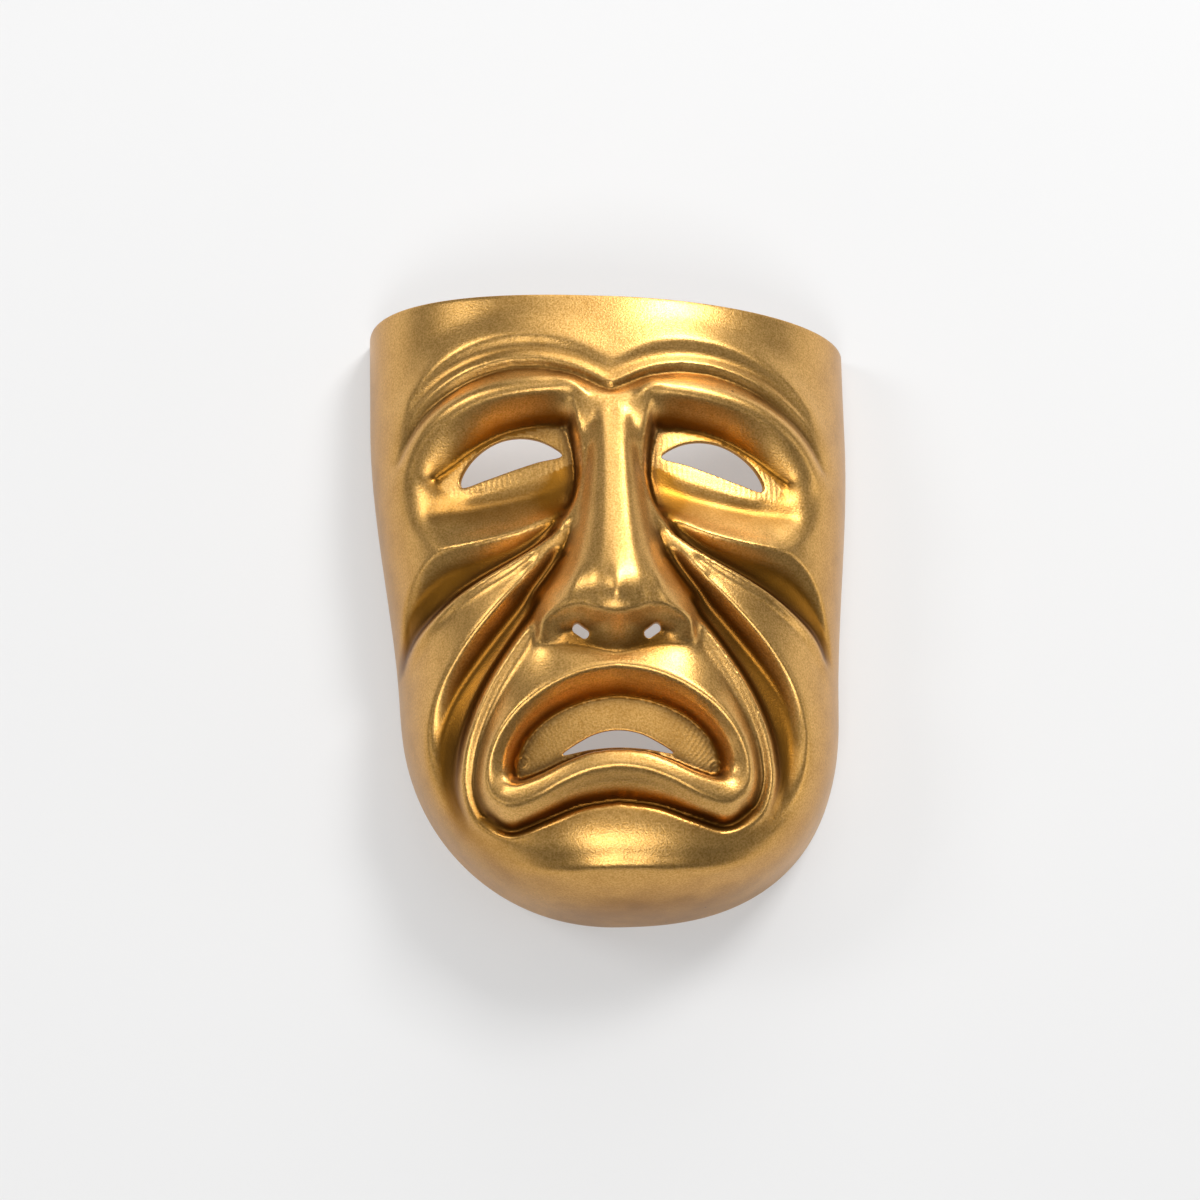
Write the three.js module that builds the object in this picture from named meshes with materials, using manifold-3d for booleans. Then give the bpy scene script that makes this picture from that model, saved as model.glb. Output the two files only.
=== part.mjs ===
// Greek theatre mask: one thin moulded shell with a tragic face, gold painted.
// Millimetres, +Z up. The mask lies face up on its rim, forehead towards +Y.

import * as THREE from "three";
import { mergeVertices } from "three/addons/utils/BufferGeometryUtils.js";
import Module from "manifold-3d";

const wasm = await Module();
wasm.setup();

// Sizes of the shell
const WIDTH = 172.6;          // temple to temple
const LENGTH = 213.6;         // chin to the middle of the cut brow edge
const CROWN = 72;             // rim to the middle of the shell, without the nose
const BROW_CROWN = 66;        // the same at the cut brow edge
const CHIN_CROWN = 70;        // the same at the chin
const WALL = 2;               // thickness of the moulding
const JAW_LEFT = 76;          // half width of the jaw on the left of the picture
const JAW_RIGHT = 80.5;       // half width of the jaw on the right
const BROW_SLANT = 0.047;     // the brow edge is trimmed a little askew

// Sizes of the holes
const NOSTRIL_LENGTH = 6.4;
const NOSTRIL_WIDTH = 3;

// The facets, by the distance between their corners
const CREASE_STEP = 3.6;      // along the creases of the face
const CARVED_STEP = 5.4;      // between the creases
const PLAIN_STEP = 9;         // on the plain forehead and flanks
const RIM_STEP = 6.5;         // along the rim
const CLOSEST = 1.7;          // no two corners come closer than this
const FILL_SHARE = 0.62;      // of a step, kept clear round the corners on the creases
const BULGE = 2;
const HOLE_STEPS = 20;         // between two points of a hole's outline
const CARVED_SHARE = 0.92;    // the carving fades out from here to the rim
const CREASED_SHARE = 0.97;   // no crease is laid closer to the rim than this

// The face is free carving, so its lines are drawn in hundredths: of the half width from the
// middle line, of the length from the chin, and of the crown out of the base shell.
const half = WIDTH / 2;
const chinY = -LENGTH / 2;
const browY = LENGTH / 2;
const atHeight = (hundredths) => chinY + hundredths / 100 * LENGTH;
const cornerY = atHeight(37.3);     // the jaw starts to turn in here

function drawn([across, up, proud = 0]) {
  return new THREE.Vector3(across / 100 * half, atHeight(up), proud / 100 * CROWN);
}

function smooth(from, to, value) {
  return THREE.MathUtils.smoothstep((value - from) / (to - from), 0, 1);
}

// Base shell: a half tube with a rounded chin end

function halfWidth(side, y) {
  const jaw = (side < 0 ? JAW_LEFT : JAW_RIGHT);
  const drop = smooth(atHeight(84), atHeight(32.6), y);
  return half + (jaw - half) * drop;
}

function jawRoundness(side) {
  return side < 0 ? 2.05 : 2.5;
}

function crownHeight(y) {
  if (y > 0) return CROWN + (BROW_CROWN - CROWN) * (y / browY) ** 2;
  return CROWN + (CHIN_CROWN - CROWN) * (y / chinY) ** 2;
}

// How flat the top of the cross-section is. The right temple is flatter than the left one.
function sectionPower(side, y) {
  const temple = side > 0 ? -0.5 * smooth(atHeight(70), browY, y) : 0;
  return 2.5 + temple + smooth(atHeight(42), chinY, y);
}

function rimShare(x, y) {
  const power = jawRoundness(x);
  const down = Math.max(0, (cornerY - y) / (cornerY - chinY));
  return Math.min(1, (Math.abs(x / halfWidth(x, y)) ** power + down ** power) ** (1 / power));
}

function shellHeight(x, y) {
  const power = sectionPower(x, y);
  return crownHeight(y) * (1 - rimShare(x, y) ** power) ** (1 / power);
}

// Direction out of the base shell, from the slope of its height. Both are scaled so that
// they stay finite at the rim, where the shell stands upright.
function shellNormal(x, y) {
  const power = sectionPower(x, y);
  const corner = jawRoundness(x);
  const width = halfWidth(x, y);
  const share = Math.max(rimShare(x, y), 1e-6);
  const down = Math.max(0, (cornerY - y) / (cornerY - chinY));
  const acrossGrowth = share ** (1 - corner) * Math.abs(x / width) ** (corner - 1) / width;
  const upGrowth = -(share ** (1 - corner)) * down ** (corner - 1) / (cornerY - chinY);
  const crown = crownHeight(y);
  const crownSlope = (crownHeight(y + 0.5) - crownHeight(y - 0.5));
  const flat = Math.max(0, 1 - share ** power) ** (1 - 1 / power);
  const height = Math.max(0, 1 - share ** power) ** (1 / power);
  const fall = crown * share ** (power - 1);
  return new THREE.Vector3(
    fall * acrossGrowth * Math.sign(x),
    fall * upGrowth - crownSlope * height * flat,
    flat).normalize();
}

// The carving, for one half of the face. Each line of the face is a wire: points of
// across, up and how proud of the base shell it lies. A film stretched over the wires
// makes the folds, ledges and hollows between them.
const wires = [
  // forehead
  { name: "brow edge", points: [[0, 100, 0], [57.9, 100, 0], [99.7, 100, 0]] },
  { name: "forehead", points: [[0, 95.3, 0], [34.8, 97.2, 0], [71.8, 93.4, 0], [92.7, 82.2, 0]] },
  { name: "shoulder over the brow", crease: true, points: [[0, 88.6, 0.7], [16.8, 91.9, 1.4],
    [35.3, 92.7, 2.1], [53.9, 91.6, 2.1], [70.7, 88.3, 2.1], [83.4, 83.1, 1.4],
    [90.4, 75.7, 0.4]] },
  { name: "dip under the shoulder", points: [[0, 86.6, -1.8], [16.2, 89.7, -2], [33.6, 91, -2],
    [51.6, 90, -2], [68.4, 87.2, -1.9], [80, 82.8, -1.4]] },
  { name: "upper fold", crease: true, points: [[0, 84.6, -0.4], [15.6, 87.7, -0.3],
    [32.8, 88.9, -0.3], [50.2, 88.1, -0.3], [66.2, 85.7, -0.3], [80, 81.6, -0.3],
    [88.7, 75.4, -0.2]] },
  { name: "groove under the fold", crease: true, points: [[0, 83.5, -3], [15.1, 86.2, -3.8],
    [32.4, 87.5, -3.9], [46.3, 86.9, -3.9], [62.6, 84.4, -3.8], [77.4, 80, -3], [87, 73.9, -1.6]] },
  { name: "brow roll", crease: true, points: [[16.2, 84.8, 3.1], [29, 84.6, 3.5], [43.6, 83.8, 3.5],
    [57.9, 82.5, 3.3], [71.8, 79.8, 2.8], [82.3, 75.7, 1.4], [87.1, 71, 0.6]] },
  { name: "brow lip", crease: true, points: [[15.1, 83.4, 3], [29.3, 82.8, 2.8], [42.4, 82.2, 2.6],
    [55.3, 81.2, 2.4], [67.3, 79.1, 1.9], [78.1, 76, 1], [84.6, 71.6, 0.1]] },

  // eye socket
  { name: "foot of the overhang", crease: true, points: [[18.2, 78.2, -16.8], [30.2, 78.5, -18.1],
    [43.5, 77.5, -18.1], [56.2, 74.9, -16.9], [66, 72, -14.8], [72, 70.6, -12.8]] },
  { name: "eye panel", points: [[22, 75.7, -17.3], [35.9, 74.7, -17.6], [51, 72.6, -16.9],
    [63, 69.8, -14.6], [71, 68.6, -12]] },
  { name: "lid", crease: true, points: [[21.9, 72.2, -16.9], [30.1, 70.5, -16.9], [40, 69.5, -16.9],
    [49.9, 68.4, -16.3], [59.4, 68, -14.8]] },
  { name: "lid roll", crease: true, points: [[22, 70.6, -16.7], [31.3, 69.2, -16.7],
    [40.6, 68.3, -16.7], [49.8, 67.5, -16], [59.5, 67, -14.4]] },
  { name: "scoop", crease: true, points: [[21.5, 67.8, -17.6], [34.8, 66.2, -18.4],
    [48.7, 65.2, -17.8], [62.6, 64.6, -14.4], [73, 64.8, -10]] },
  { name: "foot of the scoop", points: [[24, 65, -15.6], [37.4, 63.2, -14.8], [52, 62, -13.2],
    [66, 61.3, -9.6]] },
  { name: "scoop ledge", crease: true, points: [[20.4, 62.4, -10.5], [27.2, 61.6, -9.6],
    [37.4, 60, -8.4], [54.1, 58.6, -6.6], [71.3, 57.9, -2.8]] },
  { name: "outer rim of the socket", crease: true, points: [[84.6, 71.6, 0], [87.3, 68.5, -0.8],
    [85.9, 65.4, -1.4], [82.3, 62.5, -1.8], [77.2, 60.1, -2.2], [71.3, 57.9, -2.8]] },
  { name: "inner ridge", crease: true, points: [[15.1, 83.4, 3], [14.4, 79.4, -0.2],
    [13.3, 75.7, -1.4], [12.4, 72.2, -1], [12.6, 68.9, -0.4], [14.1, 65.7, 0.1], [16.8, 62.5, 0.2],
    [21.4, 59.6, 0]] },
  { name: "inner wall foot", crease: true, points: [[18.2, 78.2, -16.8], [16.3, 75.4, -17.2],
    [15, 72.2, -17.3], [15.1, 68.9, -17.2], [16.8, 65.8, -15.4], [18.9, 64, -12.6]] },

  // leaf-shaped hollow under the socket
  { name: "foot of the scoop ledge", points: [[23.2, 60.6, -12], [30, 58.9, -14], [38.2, 57.3, -15],
    [54.5, 55.6, -14.4], [68.5, 54.2, -12.6], [77, 51.4, -10.4], [82.4, 47.9, -8], [85.8, 44.2, -5],
    [88, 40.6, -2]] },
  { name: "bottom of the leaf", crease: true, points: [[25.2, 59.2, -11.5], [32.4, 57.5, -15],
    [43.2, 55.3, -17], [54.2, 53.2, -17.4], [64.9, 50.8, -16.2], [74.6, 48, -13.4],
    [81.6, 45.2, -9], [86.2, 41, -4]] },
  { name: "outer edge of the hollow", crease: true, points: [[71.3, 57.9, -2.8], [80, 55.2, -1.5],
    [85.1, 51.5, -0.8], [87.4, 47.3, -0.6], [89, 42.9, -0.3], [89.5, 38.5, 0]] },
  { name: "tear ridge", crease: true, points: [[21.4, 59.4, -0.6], [31.7, 56.3, 0.5],
    [42.6, 53.7, 1.1], [53.8, 51.4, 1.1], [64.5, 48.9, 1.1], [74.7, 45.9, 0.9], [83, 42.7, 0.4],
    [87.6, 37.6, 0]] },
  { name: "foot of the tear ridge", crease: true, points: [[33.5, 54.6, -0.9], [44, 51.9, -1.2],
    [54.5, 49.6, -1.2], [64.5, 47, -1.1], [73.8, 43.9, -0.8], [81, 40.2, -0.4], [85.2, 35.6, 0]] },
  { name: "cheek panel", points: [[37.1, 51.8, -0.2], [49.8, 47.8, 0.4], [62.6, 43.6, 0.8],
    [72.5, 38.4, 1.2], [79.5, 32.6, 1.2], [81.5, 25.6, 0.8]] },

  // cheek fold and the hollow beside the mouth
  { name: "cheek fold", crease: true, points: [[17.7, 59.3, -1.1], [28.6, 54.4, 0.8],
    [40.7, 50, 1.9], [52, 45.2, 2.4], [62.8, 40.3, 2.6], [71.8, 34.8, 2.4], [76.5, 28.5, 1.8],
    [76.2, 22, 1.2], [71.7, 15.7, 0.8], [62, 10.5, 0.5], [47.9, 7.6, 0.8], [24.1, 6.6, 1.4],
    [0, 6.8, 1.6]] },
  { name: "edge of the chin", crease: true, points: [[62, 8.9, 1.2], [47, 5.7, 3.6], [24, 4.7, 5],
    [0, 4.9, 5.4]] },
  { name: "foot of the cheek fold", crease: true, points: [[22.5, 55.2, -6.9], [35.3, 48.9, -10.8],
    [46.9, 43.8, -11.8], [57, 38.5, -11.8], [65, 33.3, -10.8], [69.3, 28, -9.2], [69, 22.3, -7.4],
    [65, 16.9, -5.2], [57.5, 12, -2.8], [47.5, 8.9, -0.8]] },
  { name: "floor of the cheek hollow", crease: true, points: [[30.8, 47.6, -8.5], [35.6, 45.6, -11],
    [44.2, 41, -12.8], [52.2, 36.2, -13.2], [58.8, 30.8, -12.4], [63.2, 24.6, -10],
    [64.2, 18.4, -7], [60.4, 13.4, -3.8]] },
  { name: "cheek edge beside the nose", crease: true, points: [[17.7, 59.3, -0.8],
    [20.3, 55.7, -0.8], [23.4, 52.6, -0.8], [27.2, 49.6, -0.6], [31.1, 46.9, -0.8],
    [32.6, 45.2, -1.6]] },
  { name: "muzzle edge", crease: true, points: [[33.2, 44.4, -0.4], [42.2, 39.6, 0.4],
    [50.2, 34.6, 0.8], [56.8, 29.2, 1], [61.2, 23.6, 1], [61.9, 17.7, 0.6], [57, 13, -0.6],
    [42.9, 10.2, -1.5], [28.6, 11.7, -2.6], [14.7, 13.7, -3.3], [0, 14.6, -3.5]] },
  { name: "channel inside the muzzle edge", crease: true, points: [[31.3, 42.4, -1.6],
    [38.9, 38.2, -2.4], [46.1, 33.5, -3.2], [52.1, 28.4, -3.8], [56, 23.2, -4.4], [56.6, 18, -5.6],
    [53.4, 14.5, -7]] },
  { name: "channel under the lower lip", crease: true, points: [[53.4, 14.5, -7], [43, 11.9, -8.6],
    [30.1, 12.9, -9.4], [15.1, 14.7, -9.8], [0, 15.5, -9.8]] },

  // mouth
  { name: "lip roll", crease: true, points: [[0, 36.4, 4.4], [11.5, 35.6, 4.6], [22.4, 34.1, 4.9],
    [32.7, 31.9, 5], [41.7, 29.1, 5], [48.7, 25.3, 5], [52.5, 20.9, 4.7], [51.9, 16.9, 4.3],
    [44.6, 14.6, 4.3], [32.6, 15.6, 4.6], [22.1, 17.7, 5.1], [11.4, 19.3, 5.7], [0, 20, 5.9]] },
  { name: "under the lower lip", crease: true, points: [[50.2, 15, -1.2], [44.2, 13.1, -0.6],
    [32.2, 14.1, -0.6], [21.8, 16.1, -0.3], [11.2, 17.6, 0.2], [0, 18.2, 0.4]] },
  { name: "inner edge of the lips", crease: true, points: [[0, 35.1, -0.6], [10.9, 34.4, -0.4],
    [20.9, 32.9, -0.2], [30.4, 30.6, 0], [38.5, 27.7, 0], [44.6, 24.1, 0], [46.9, 20.3, 0],
    [44.7, 17.8, 1.4], [32.4, 18.6, 3.1], [21.4, 20.7, 3.6], [11, 22.2, 4.2], [0, 22.7, 4.2]] },
  { name: "mouth panel", crease: true, points: [[0, 32.5, -12.5], [10.5, 31.9, -12.5],
    [20.6, 30.6, -12.5], [29.7, 28.5, -12.5], [36.7, 25.5, -12.2], [40.1, 22, -11.7],
    [39.4, 19.7, -11.4], [30.7, 20.4, -11.7], [20.9, 22, -12.2], [11, 23.2, -12.5],
    [0, 23.5, -12.5]] },

  // nose
  { name: "nose root", points: [[0, 82.2, 1.9], [7, 82, 2.2]] },
  { name: "side of the nose root", points: [[22.6, 84.8, 3.6], [16.6, 84.2, 4.2], [11.4, 82.6, 3.3],
    [8.6, 80.3, 1.1], [8.1, 77.1, 0.7]] },
  { name: "bridge", crease: true, points: [[4.2, 79.9, 1.9], [4.6, 74.7, 6.7], [5, 67.2, 12.2],
    [5.6, 59.7, 17.6], [6.8, 53.2, 22.8], [8.2, 49.4, 25.4], [9, 46.6, 24.8]] },
  { name: "middle of the bridge", crease: true, points: [[0, 79.4, 1.7], [0, 74.7, 6.5],
    [0, 67.2, 12.1], [0, 59.7, 17.7], [0, 53.2, 23.6], [0, 49.2, 27.6], [0, 46.2, 28.8]] },
  { name: "flank of the nose", points: [[7.3, 74.7, 4.4], [8.6, 67.2, 9], [10.6, 59.7, 13.2],
    [13.6, 53.2, 17.8], [16.8, 49.2, 20.8], [18.2, 47, 20.4]] },
  { name: "side of the nose", crease: true, points: [[9.6, 73.3, -0.8], [11, 68.2, 1],
    [13, 62.5, 3], [16.4, 56.9, 4.2], [21, 52.2, 4.8], [26.2, 48.5, 5], [29.9, 45.7, 5]] },
  { name: "nostril rim", crease: true, points: [[30.8, 41.6, 5.6], [29, 43.3, 11.1],
    [23.8, 44.8, 15.2], [18.1, 45.2, 18], [12.3, 44.9, 20.6], [6.5, 44.1, 22.6], [0, 43.6, 22.8]] },
  { name: "nostril ridge inside", points: [[26.7, 43.1, 8.3], [19.7, 43.9, 11.1],
    [12.7, 43.8, 13.1]] },
  { name: "under the nose", crease: true, points: [[30.4, 40.1, 0.9], [19.8, 39.8, 1.2],
    [9.7, 39.2, 1.6], [0, 38.3, 1.8]] },
  { name: "nostril bowl", points: [[6, 42.2, 11], [9.5, 42, 7.4], [14.5, 42, 4.6],
    [21.4, 41.8, 2.8]] },
  { name: "septum", points: [[0, 43.6, 22.8], [0, 41.7, 12.2], [0, 39.8, 4.6]] },
];

// Film over the wires, on squares of about one millimetre
const CELLS_UP = 216;
const CELL = LENGTH / (CELLS_UP - 2);
const CELLS_ACROSS = Math.ceil(half / CELL) + 2;
const FIRST_ROW = chinY - CELL;
const PULL = 30;              // how strongly a wire holds the film
const WIRE_REACH = 1.6;       // in squares
const WIRE_WIDTH = 0.6;       // in squares
const FILM_SHARE = 0.98;      // the film is held on the base shell from here to the rim
const SWEEPS = 500;
const SWEEP_SHARE = 1.9;            // each sweep moves a square this much of its way: under 2
const SOFTENING = 1;          // rounds of smoothing, each over about one square

function wireCurve({ points }) {
  return new THREE.CatmullRomCurve3(points.map(drawn), false, "centripetal");
}

function wireTargets() {
  const pull = new Float64Array(CELLS_ACROSS * CELLS_UP);
  const target = new Float64Array(CELLS_ACROSS * CELLS_UP);
  for (const wire of wires) {
    const curve = wireCurve(wire);
    const nearest = new Map();
    const samples = Math.ceil(curve.getLength() / CELL * 3);
    for (let k = 0; k <= samples; k++) {
      const point = curve.getPoint(k / samples);
      const column = Math.round(point.x / CELL);
      const row = Math.round((point.y - FIRST_ROW) / CELL);
      for (let i = column - 2; i <= column + 2; i++) {
        for (let j = row - 2; j <= row + 2; j++) {
          if (i < 0 || j < 0 || i >= CELLS_ACROSS || j >= CELLS_UP) continue;
          const distance = Math.hypot(i - point.x / CELL, j - (point.y - FIRST_ROW) / CELL);
          const cell = j * CELLS_ACROSS + i;
          const known = nearest.get(cell);
          if (distance > WIRE_REACH || (known && known.distance <= distance)) continue;
          nearest.set(cell, { distance, proud: point.z });
        }
      }
    }
    for (const [cell, { distance, proud }] of nearest) {
      const weight = PULL * Math.exp(-((distance / WIRE_WIDTH) ** 2));
      pull[cell] += weight;
      target[cell] += weight * proud;
    }
  }
  return { pull, target };
}

function stretchFilm() {
  const { pull, target } = wireTargets();
  const film = new Float64Array(CELLS_ACROSS * CELLS_UP);
  const free = new Uint8Array(film.length);
  for (let j = 1; j < CELLS_UP - 1; j++) {
    for (let i = 0; i < CELLS_ACROSS - 1; i++) {
      free[j * CELLS_ACROSS + i] = rimShare(i * CELL, j * CELL + FIRST_ROW) < FILM_SHARE ? 1 : 0;
    }
  }
  for (let sweep = 0; sweep < SWEEPS; sweep++) {
    for (let j = 1; j < CELLS_UP - 1; j++) {
      for (let i = 0; i < CELLS_ACROSS - 1; i++) {
        const cell = j * CELLS_ACROSS + i;
        if (!free[cell]) continue;
        const left = film[i > 0 ? cell - 1 : cell + 1];
        const around = left + film[cell + 1] + film[cell - CELLS_ACROSS] + film[cell + CELLS_ACROSS];
        const settled = (around + target[cell]) / (4 + pull[cell]);
        film[cell] += SWEEP_SHARE * (settled - film[cell]);
      }
    }
  }
  return soften(film);
}

// Rounds the creases off a little, so that the facets between them stay even
function soften(film) {
  let soft = film;
  for (let pass = 0; pass < SOFTENING; pass++) {
    const next = Float64Array.from(soft);
    for (let j = 1; j < CELLS_UP - 1; j++) {
      for (let i = 0; i < CELLS_ACROSS - 1; i++) {
        const cell = j * CELLS_ACROSS + i;
        const left = soft[i > 0 ? cell - 1 : cell + 1];
        const around = left + soft[cell + 1] + soft[cell - CELLS_ACROSS] + soft[cell + CELLS_ACROSS];
        next[cell] = (soft[cell] + around / 4) / 2;
      }
    }
    soft = next;
  }
  return soft;
}

// The inside follows the outside at the wall's thickness, so each of its points takes the
// lowest place that a ball of that radius would leave it.
function insideFilm(film) {
  const inside = new Float64Array(film.length);
  const cells = Math.ceil(WALL / CELL);
  for (let j = 0; j < CELLS_UP; j++) {
    for (let i = 0; i < CELLS_ACROSS; i++) {
      let lowest = film[j * CELLS_ACROSS + i];
      for (let dj = -cells; dj <= cells; dj++) {
        for (let di = -cells; di <= cells; di++) {
          const away = Math.hypot(di, dj) * CELL;
          const row = THREE.MathUtils.clamp(j + dj, 0, CELLS_UP - 1);
          const column = Math.min(Math.abs(i + di), CELLS_ACROSS - 1);
          if (away > WALL) continue;
          const lift = WALL - Math.sqrt(WALL ** 2 - away ** 2);
          lowest = Math.min(lowest, film[row * CELLS_ACROSS + column] + lift);
        }
      }
      inside[j * CELLS_ACROSS + i] = lowest;
    }
  }
  return inside;
}

function readFilm(film, x, y) {
  const across = THREE.MathUtils.clamp(Math.abs(x) / CELL, 0, CELLS_ACROSS - 1.001);
  const up = THREE.MathUtils.clamp((y - FIRST_ROW) / CELL, 0, CELLS_UP - 1.001);
  const i = Math.floor(across);
  const j = Math.floor(up);
  const cell = j * CELLS_ACROSS + i;
  const low = THREE.MathUtils.lerp(film[cell], film[cell + 1], across - i);
  const high = THREE.MathUtils.lerp(film[cell + CELLS_ACROSS], film[cell + CELLS_ACROSS + 1], across - i);
  const fade = 1 - smooth(CARVED_SHARE, 1, rimShare(x, y));
  return THREE.MathUtils.lerp(low, high, up - j) * fade;
}

// Facets. The sheet is unrolled flat for each half of the face, points are laid along its
// edges, its creases and between them, and the facets join them.

// Length along the arc of the cross-section, from the middle line to a share of the way out
const arcTable = (() => {
  const power = sectionPower(-1, 0);
  const fine = 400;
  const table = [{ share: 0, length: 0 }];
  let before = [0, CROWN];
  for (let k = 1; k <= fine; k++) {
    const angle = (k / fine) * Math.PI / 2;
    const share = Math.sin(angle) ** (2 / power);
    const now = [half * share, CROWN * Math.cos(angle) ** (2 / power)];
    const length = table[k - 1].length + Math.hypot(now[0] - before[0], now[1] - before[1]);
    table.push({ share, length });
    before = now;
  }
  return table;
})();
const fullArc = arcTable[arcTable.length - 1].length;

function lookUp(value, from, to) {
  const k = Math.max(1, arcTable.findIndex((entry) => entry[from] >= value));
  const [low, high] = [arcTable[k - 1], arcTable[k]];
  return THREE.MathUtils.mapLinear(value, low[from], high[from], low[to], high[to]);
}

const arcOf = (share) => lookUp(Math.min(share, 1), "share", "length");
const shareOf = (arc) => lookUp(Math.min(arc, fullArc - 1e-9), "length", "share");

function unroll(side, x, y) {
  const arc = arcOf(rimShare(side * x, y));
  if (y >= cornerY) return [arc, y];
  const [across, down] = [x / halfWidth(side, y), (cornerY - y) / (cornerY - chinY)];
  const reach = Math.hypot(across, down);
  return [arc * across / reach, cornerY - arc * down / reach];
}

function rollUp(side, flatX, flatY) {
  if (flatY >= cornerY) return [shareOf(flatX) * halfWidth(side, flatY), flatY];
  const arc = Math.hypot(flatX, cornerY - flatY);
  const corner = jawRoundness(side);
  const [across, down] = [flatX / arc, (cornerY - flatY) / arc];
  const reach = shareOf(arc) / (across ** corner + down ** corner) ** (1 / corner);
  const y = cornerY - reach * down * (cornerY - chinY);
  return [reach * across * halfWidth(side, y), y];
}

// The unrolled sheet is bulged a little, so that its outline is round and no facet forms
// outside it.
function hump(value, from, to) {
  return 4 * Math.max(0, (value - from) * (to - value)) / (to - from) ** 2;
}

function bulged([flatX, flatY]) {
  const out = flatX / fullArc;
  const atMiddle = BULGE * (1 - out) * hump(flatY, cornerY - fullArc, browY);
  const atRim = BULGE * out * hump(flatY, cornerY, browY);
  const atBrow = BULGE * smooth(cornerY, browY, flatY) * hump(flatX, 0, fullArc);
  return [flatX - atMiddle + atRim, flatY + atBrow];
}

function facetCorners(side) {
  const corners = [];
  function add(x, y, [flatX, flatY], closest) {
    const crowded = corners.some(({ flat }) => Math.hypot(flat[0] - flatX, flat[1] - flatY) < closest);
    if (!crowded) corners.push({ x, y, flat: [flatX, flatY] });
  }
  const addPlan = (x, y, closest) => add(x, y, unroll(side, x, y), closest);
  const addFlat = (flat, closest) => add(...rollUp(side, ...flat), flat, closest);

  // rim and brow edge
  const sideSteps = Math.round((browY - cornerY) / RIM_STEP);
  const chinSteps = Math.round(fullArc * Math.PI / 2 / RIM_STEP);
  const browSteps = Math.round(fullArc / RIM_STEP);
  for (let k = 0; k < sideSteps; k++) {
    const y = THREE.MathUtils.lerp(browY, cornerY, k / sideSteps);
    corners.push({ x: halfWidth(side, y), y, flat: [fullArc, y], onRim: true });
  }
  for (let k = 0; k < chinSteps; k++) {
    const angle = (k / chinSteps) * Math.PI / 2;
    const flat = [fullArc * Math.cos(angle), cornerY - fullArc * Math.sin(angle)];
    const [x, y] = rollUp(side, ...flat);
    corners.push({ x, y, flat, onRim: true });
  }
  corners.push({ x: 0, y: chinY, flat: [0, cornerY - fullArc], onRim: true });
  for (let k = 0; k < browSteps; k++) addFlat([(k / browSteps) * fullArc, browY], CLOSEST);

  // creases, and where they cross the middle line
  const creases = wires.filter((wire) => wire.crease).map(wireCurve);
  for (const crease of creases) {
    for (const end of [crease.points[0], crease.points[crease.points.length - 1]]) {
      if (end.x === 0) addPlan(0, end.y, CLOSEST);
    }
  }
  const middleSteps = Math.round((browY - cornerY + fullArc) / CARVED_STEP);
  for (let k = 0; k < middleSteps; k++) {
    addFlat([0, browY - k * CARVED_STEP], CARVED_STEP * FILL_SHARE);
  }
  for (const crease of creases) {
    for (const { x, y } of crease.getSpacedPoints(Math.ceil(crease.getLength() / CREASE_STEP))) {
      if (x > CLOSEST && rimShare(side * x, y) < CREASED_SHARE) addPlan(x, y, CLOSEST);
    }
  }

  // between the creases, in rows that are half a step apart
  for (const [step, plain] of [[CARVED_STEP, false], [PLAIN_STEP, true]]) {
    const rise = step * Math.sqrt(3) / 2;
    for (let row = 1; row * rise < browY - cornerY + fullArc; row++) {
      const flatY = browY - row * rise;
      for (let flatX = step * (row % 2 ? 0.5 : 1); flatX < fullArc; flatX += step) {
        if (Math.hypot(flatX, Math.min(0, flatY - cornerY)) > fullArc - step / 2) continue;
        const [x, y] = rollUp(side, flatX, flatY);
        const carved = rimShare(side * x, y) < CARVED_SHARE && y < atHeight(95.3);
        if (carved !== plain) add(x, y, [flatX, flatY], FILL_SHARE * step);
      }
    }
  }
  return corners;
}

// Joins points into triangles whose circles hold no other point
function joinPoints(points) {
  const far = 1e5;
  const all = [...points, [-far, -far], [far, -far], [0, far]];
  const triangle = (a, b, c) => {
    const [[ax, ay], [bx, by], [cx, cy]] = [all[a], all[b], all[c]];
    const twice = 2 * ((bx - ax) * (cy - ay) - (by - ay) * (cx - ax));
    const [b2, c2] = [(bx - ax) ** 2 + (by - ay) ** 2, (cx - ax) ** 2 + (cy - ay) ** 2];
    const x = ((cy - ay) * b2 - (by - ay) * c2) / twice;
    const y = ((bx - ax) * c2 - (cx - ax) * b2) / twice;
    return { corners: [a, b, c], x: ax + x, y: ay + y, square: x * x + y * y };
  };
  let triangles = [triangle(points.length, points.length + 1, points.length + 2)];
  points.forEach(([x, y], point) => {
    const open = new Map();
    triangles = triangles.filter((one) => {
      if ((one.x - x) ** 2 + (one.y - y) ** 2 > one.square) return true;
      one.corners.forEach((from, k) => {
        const to = one.corners[(k + 1) % 3];
        if (!open.delete(`${to} ${from}`)) open.set(`${from} ${to}`, [from, to]);
      });
      return false;
    });
    for (const [from, to] of open.values()) triangles.push(triangle(from, to, point));
  });
  return triangles.map(({ corners }) => corners)
    .filter((corners) => corners.every((corner) => corner < points.length));
}

// The brow edge is trimmed askew, which shifts the points near it
function trimmed(point) {
  return point.setY(point.y - BROW_SLANT * point.x * smooth(atHeight(24.6), browY, point.y));
}

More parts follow.
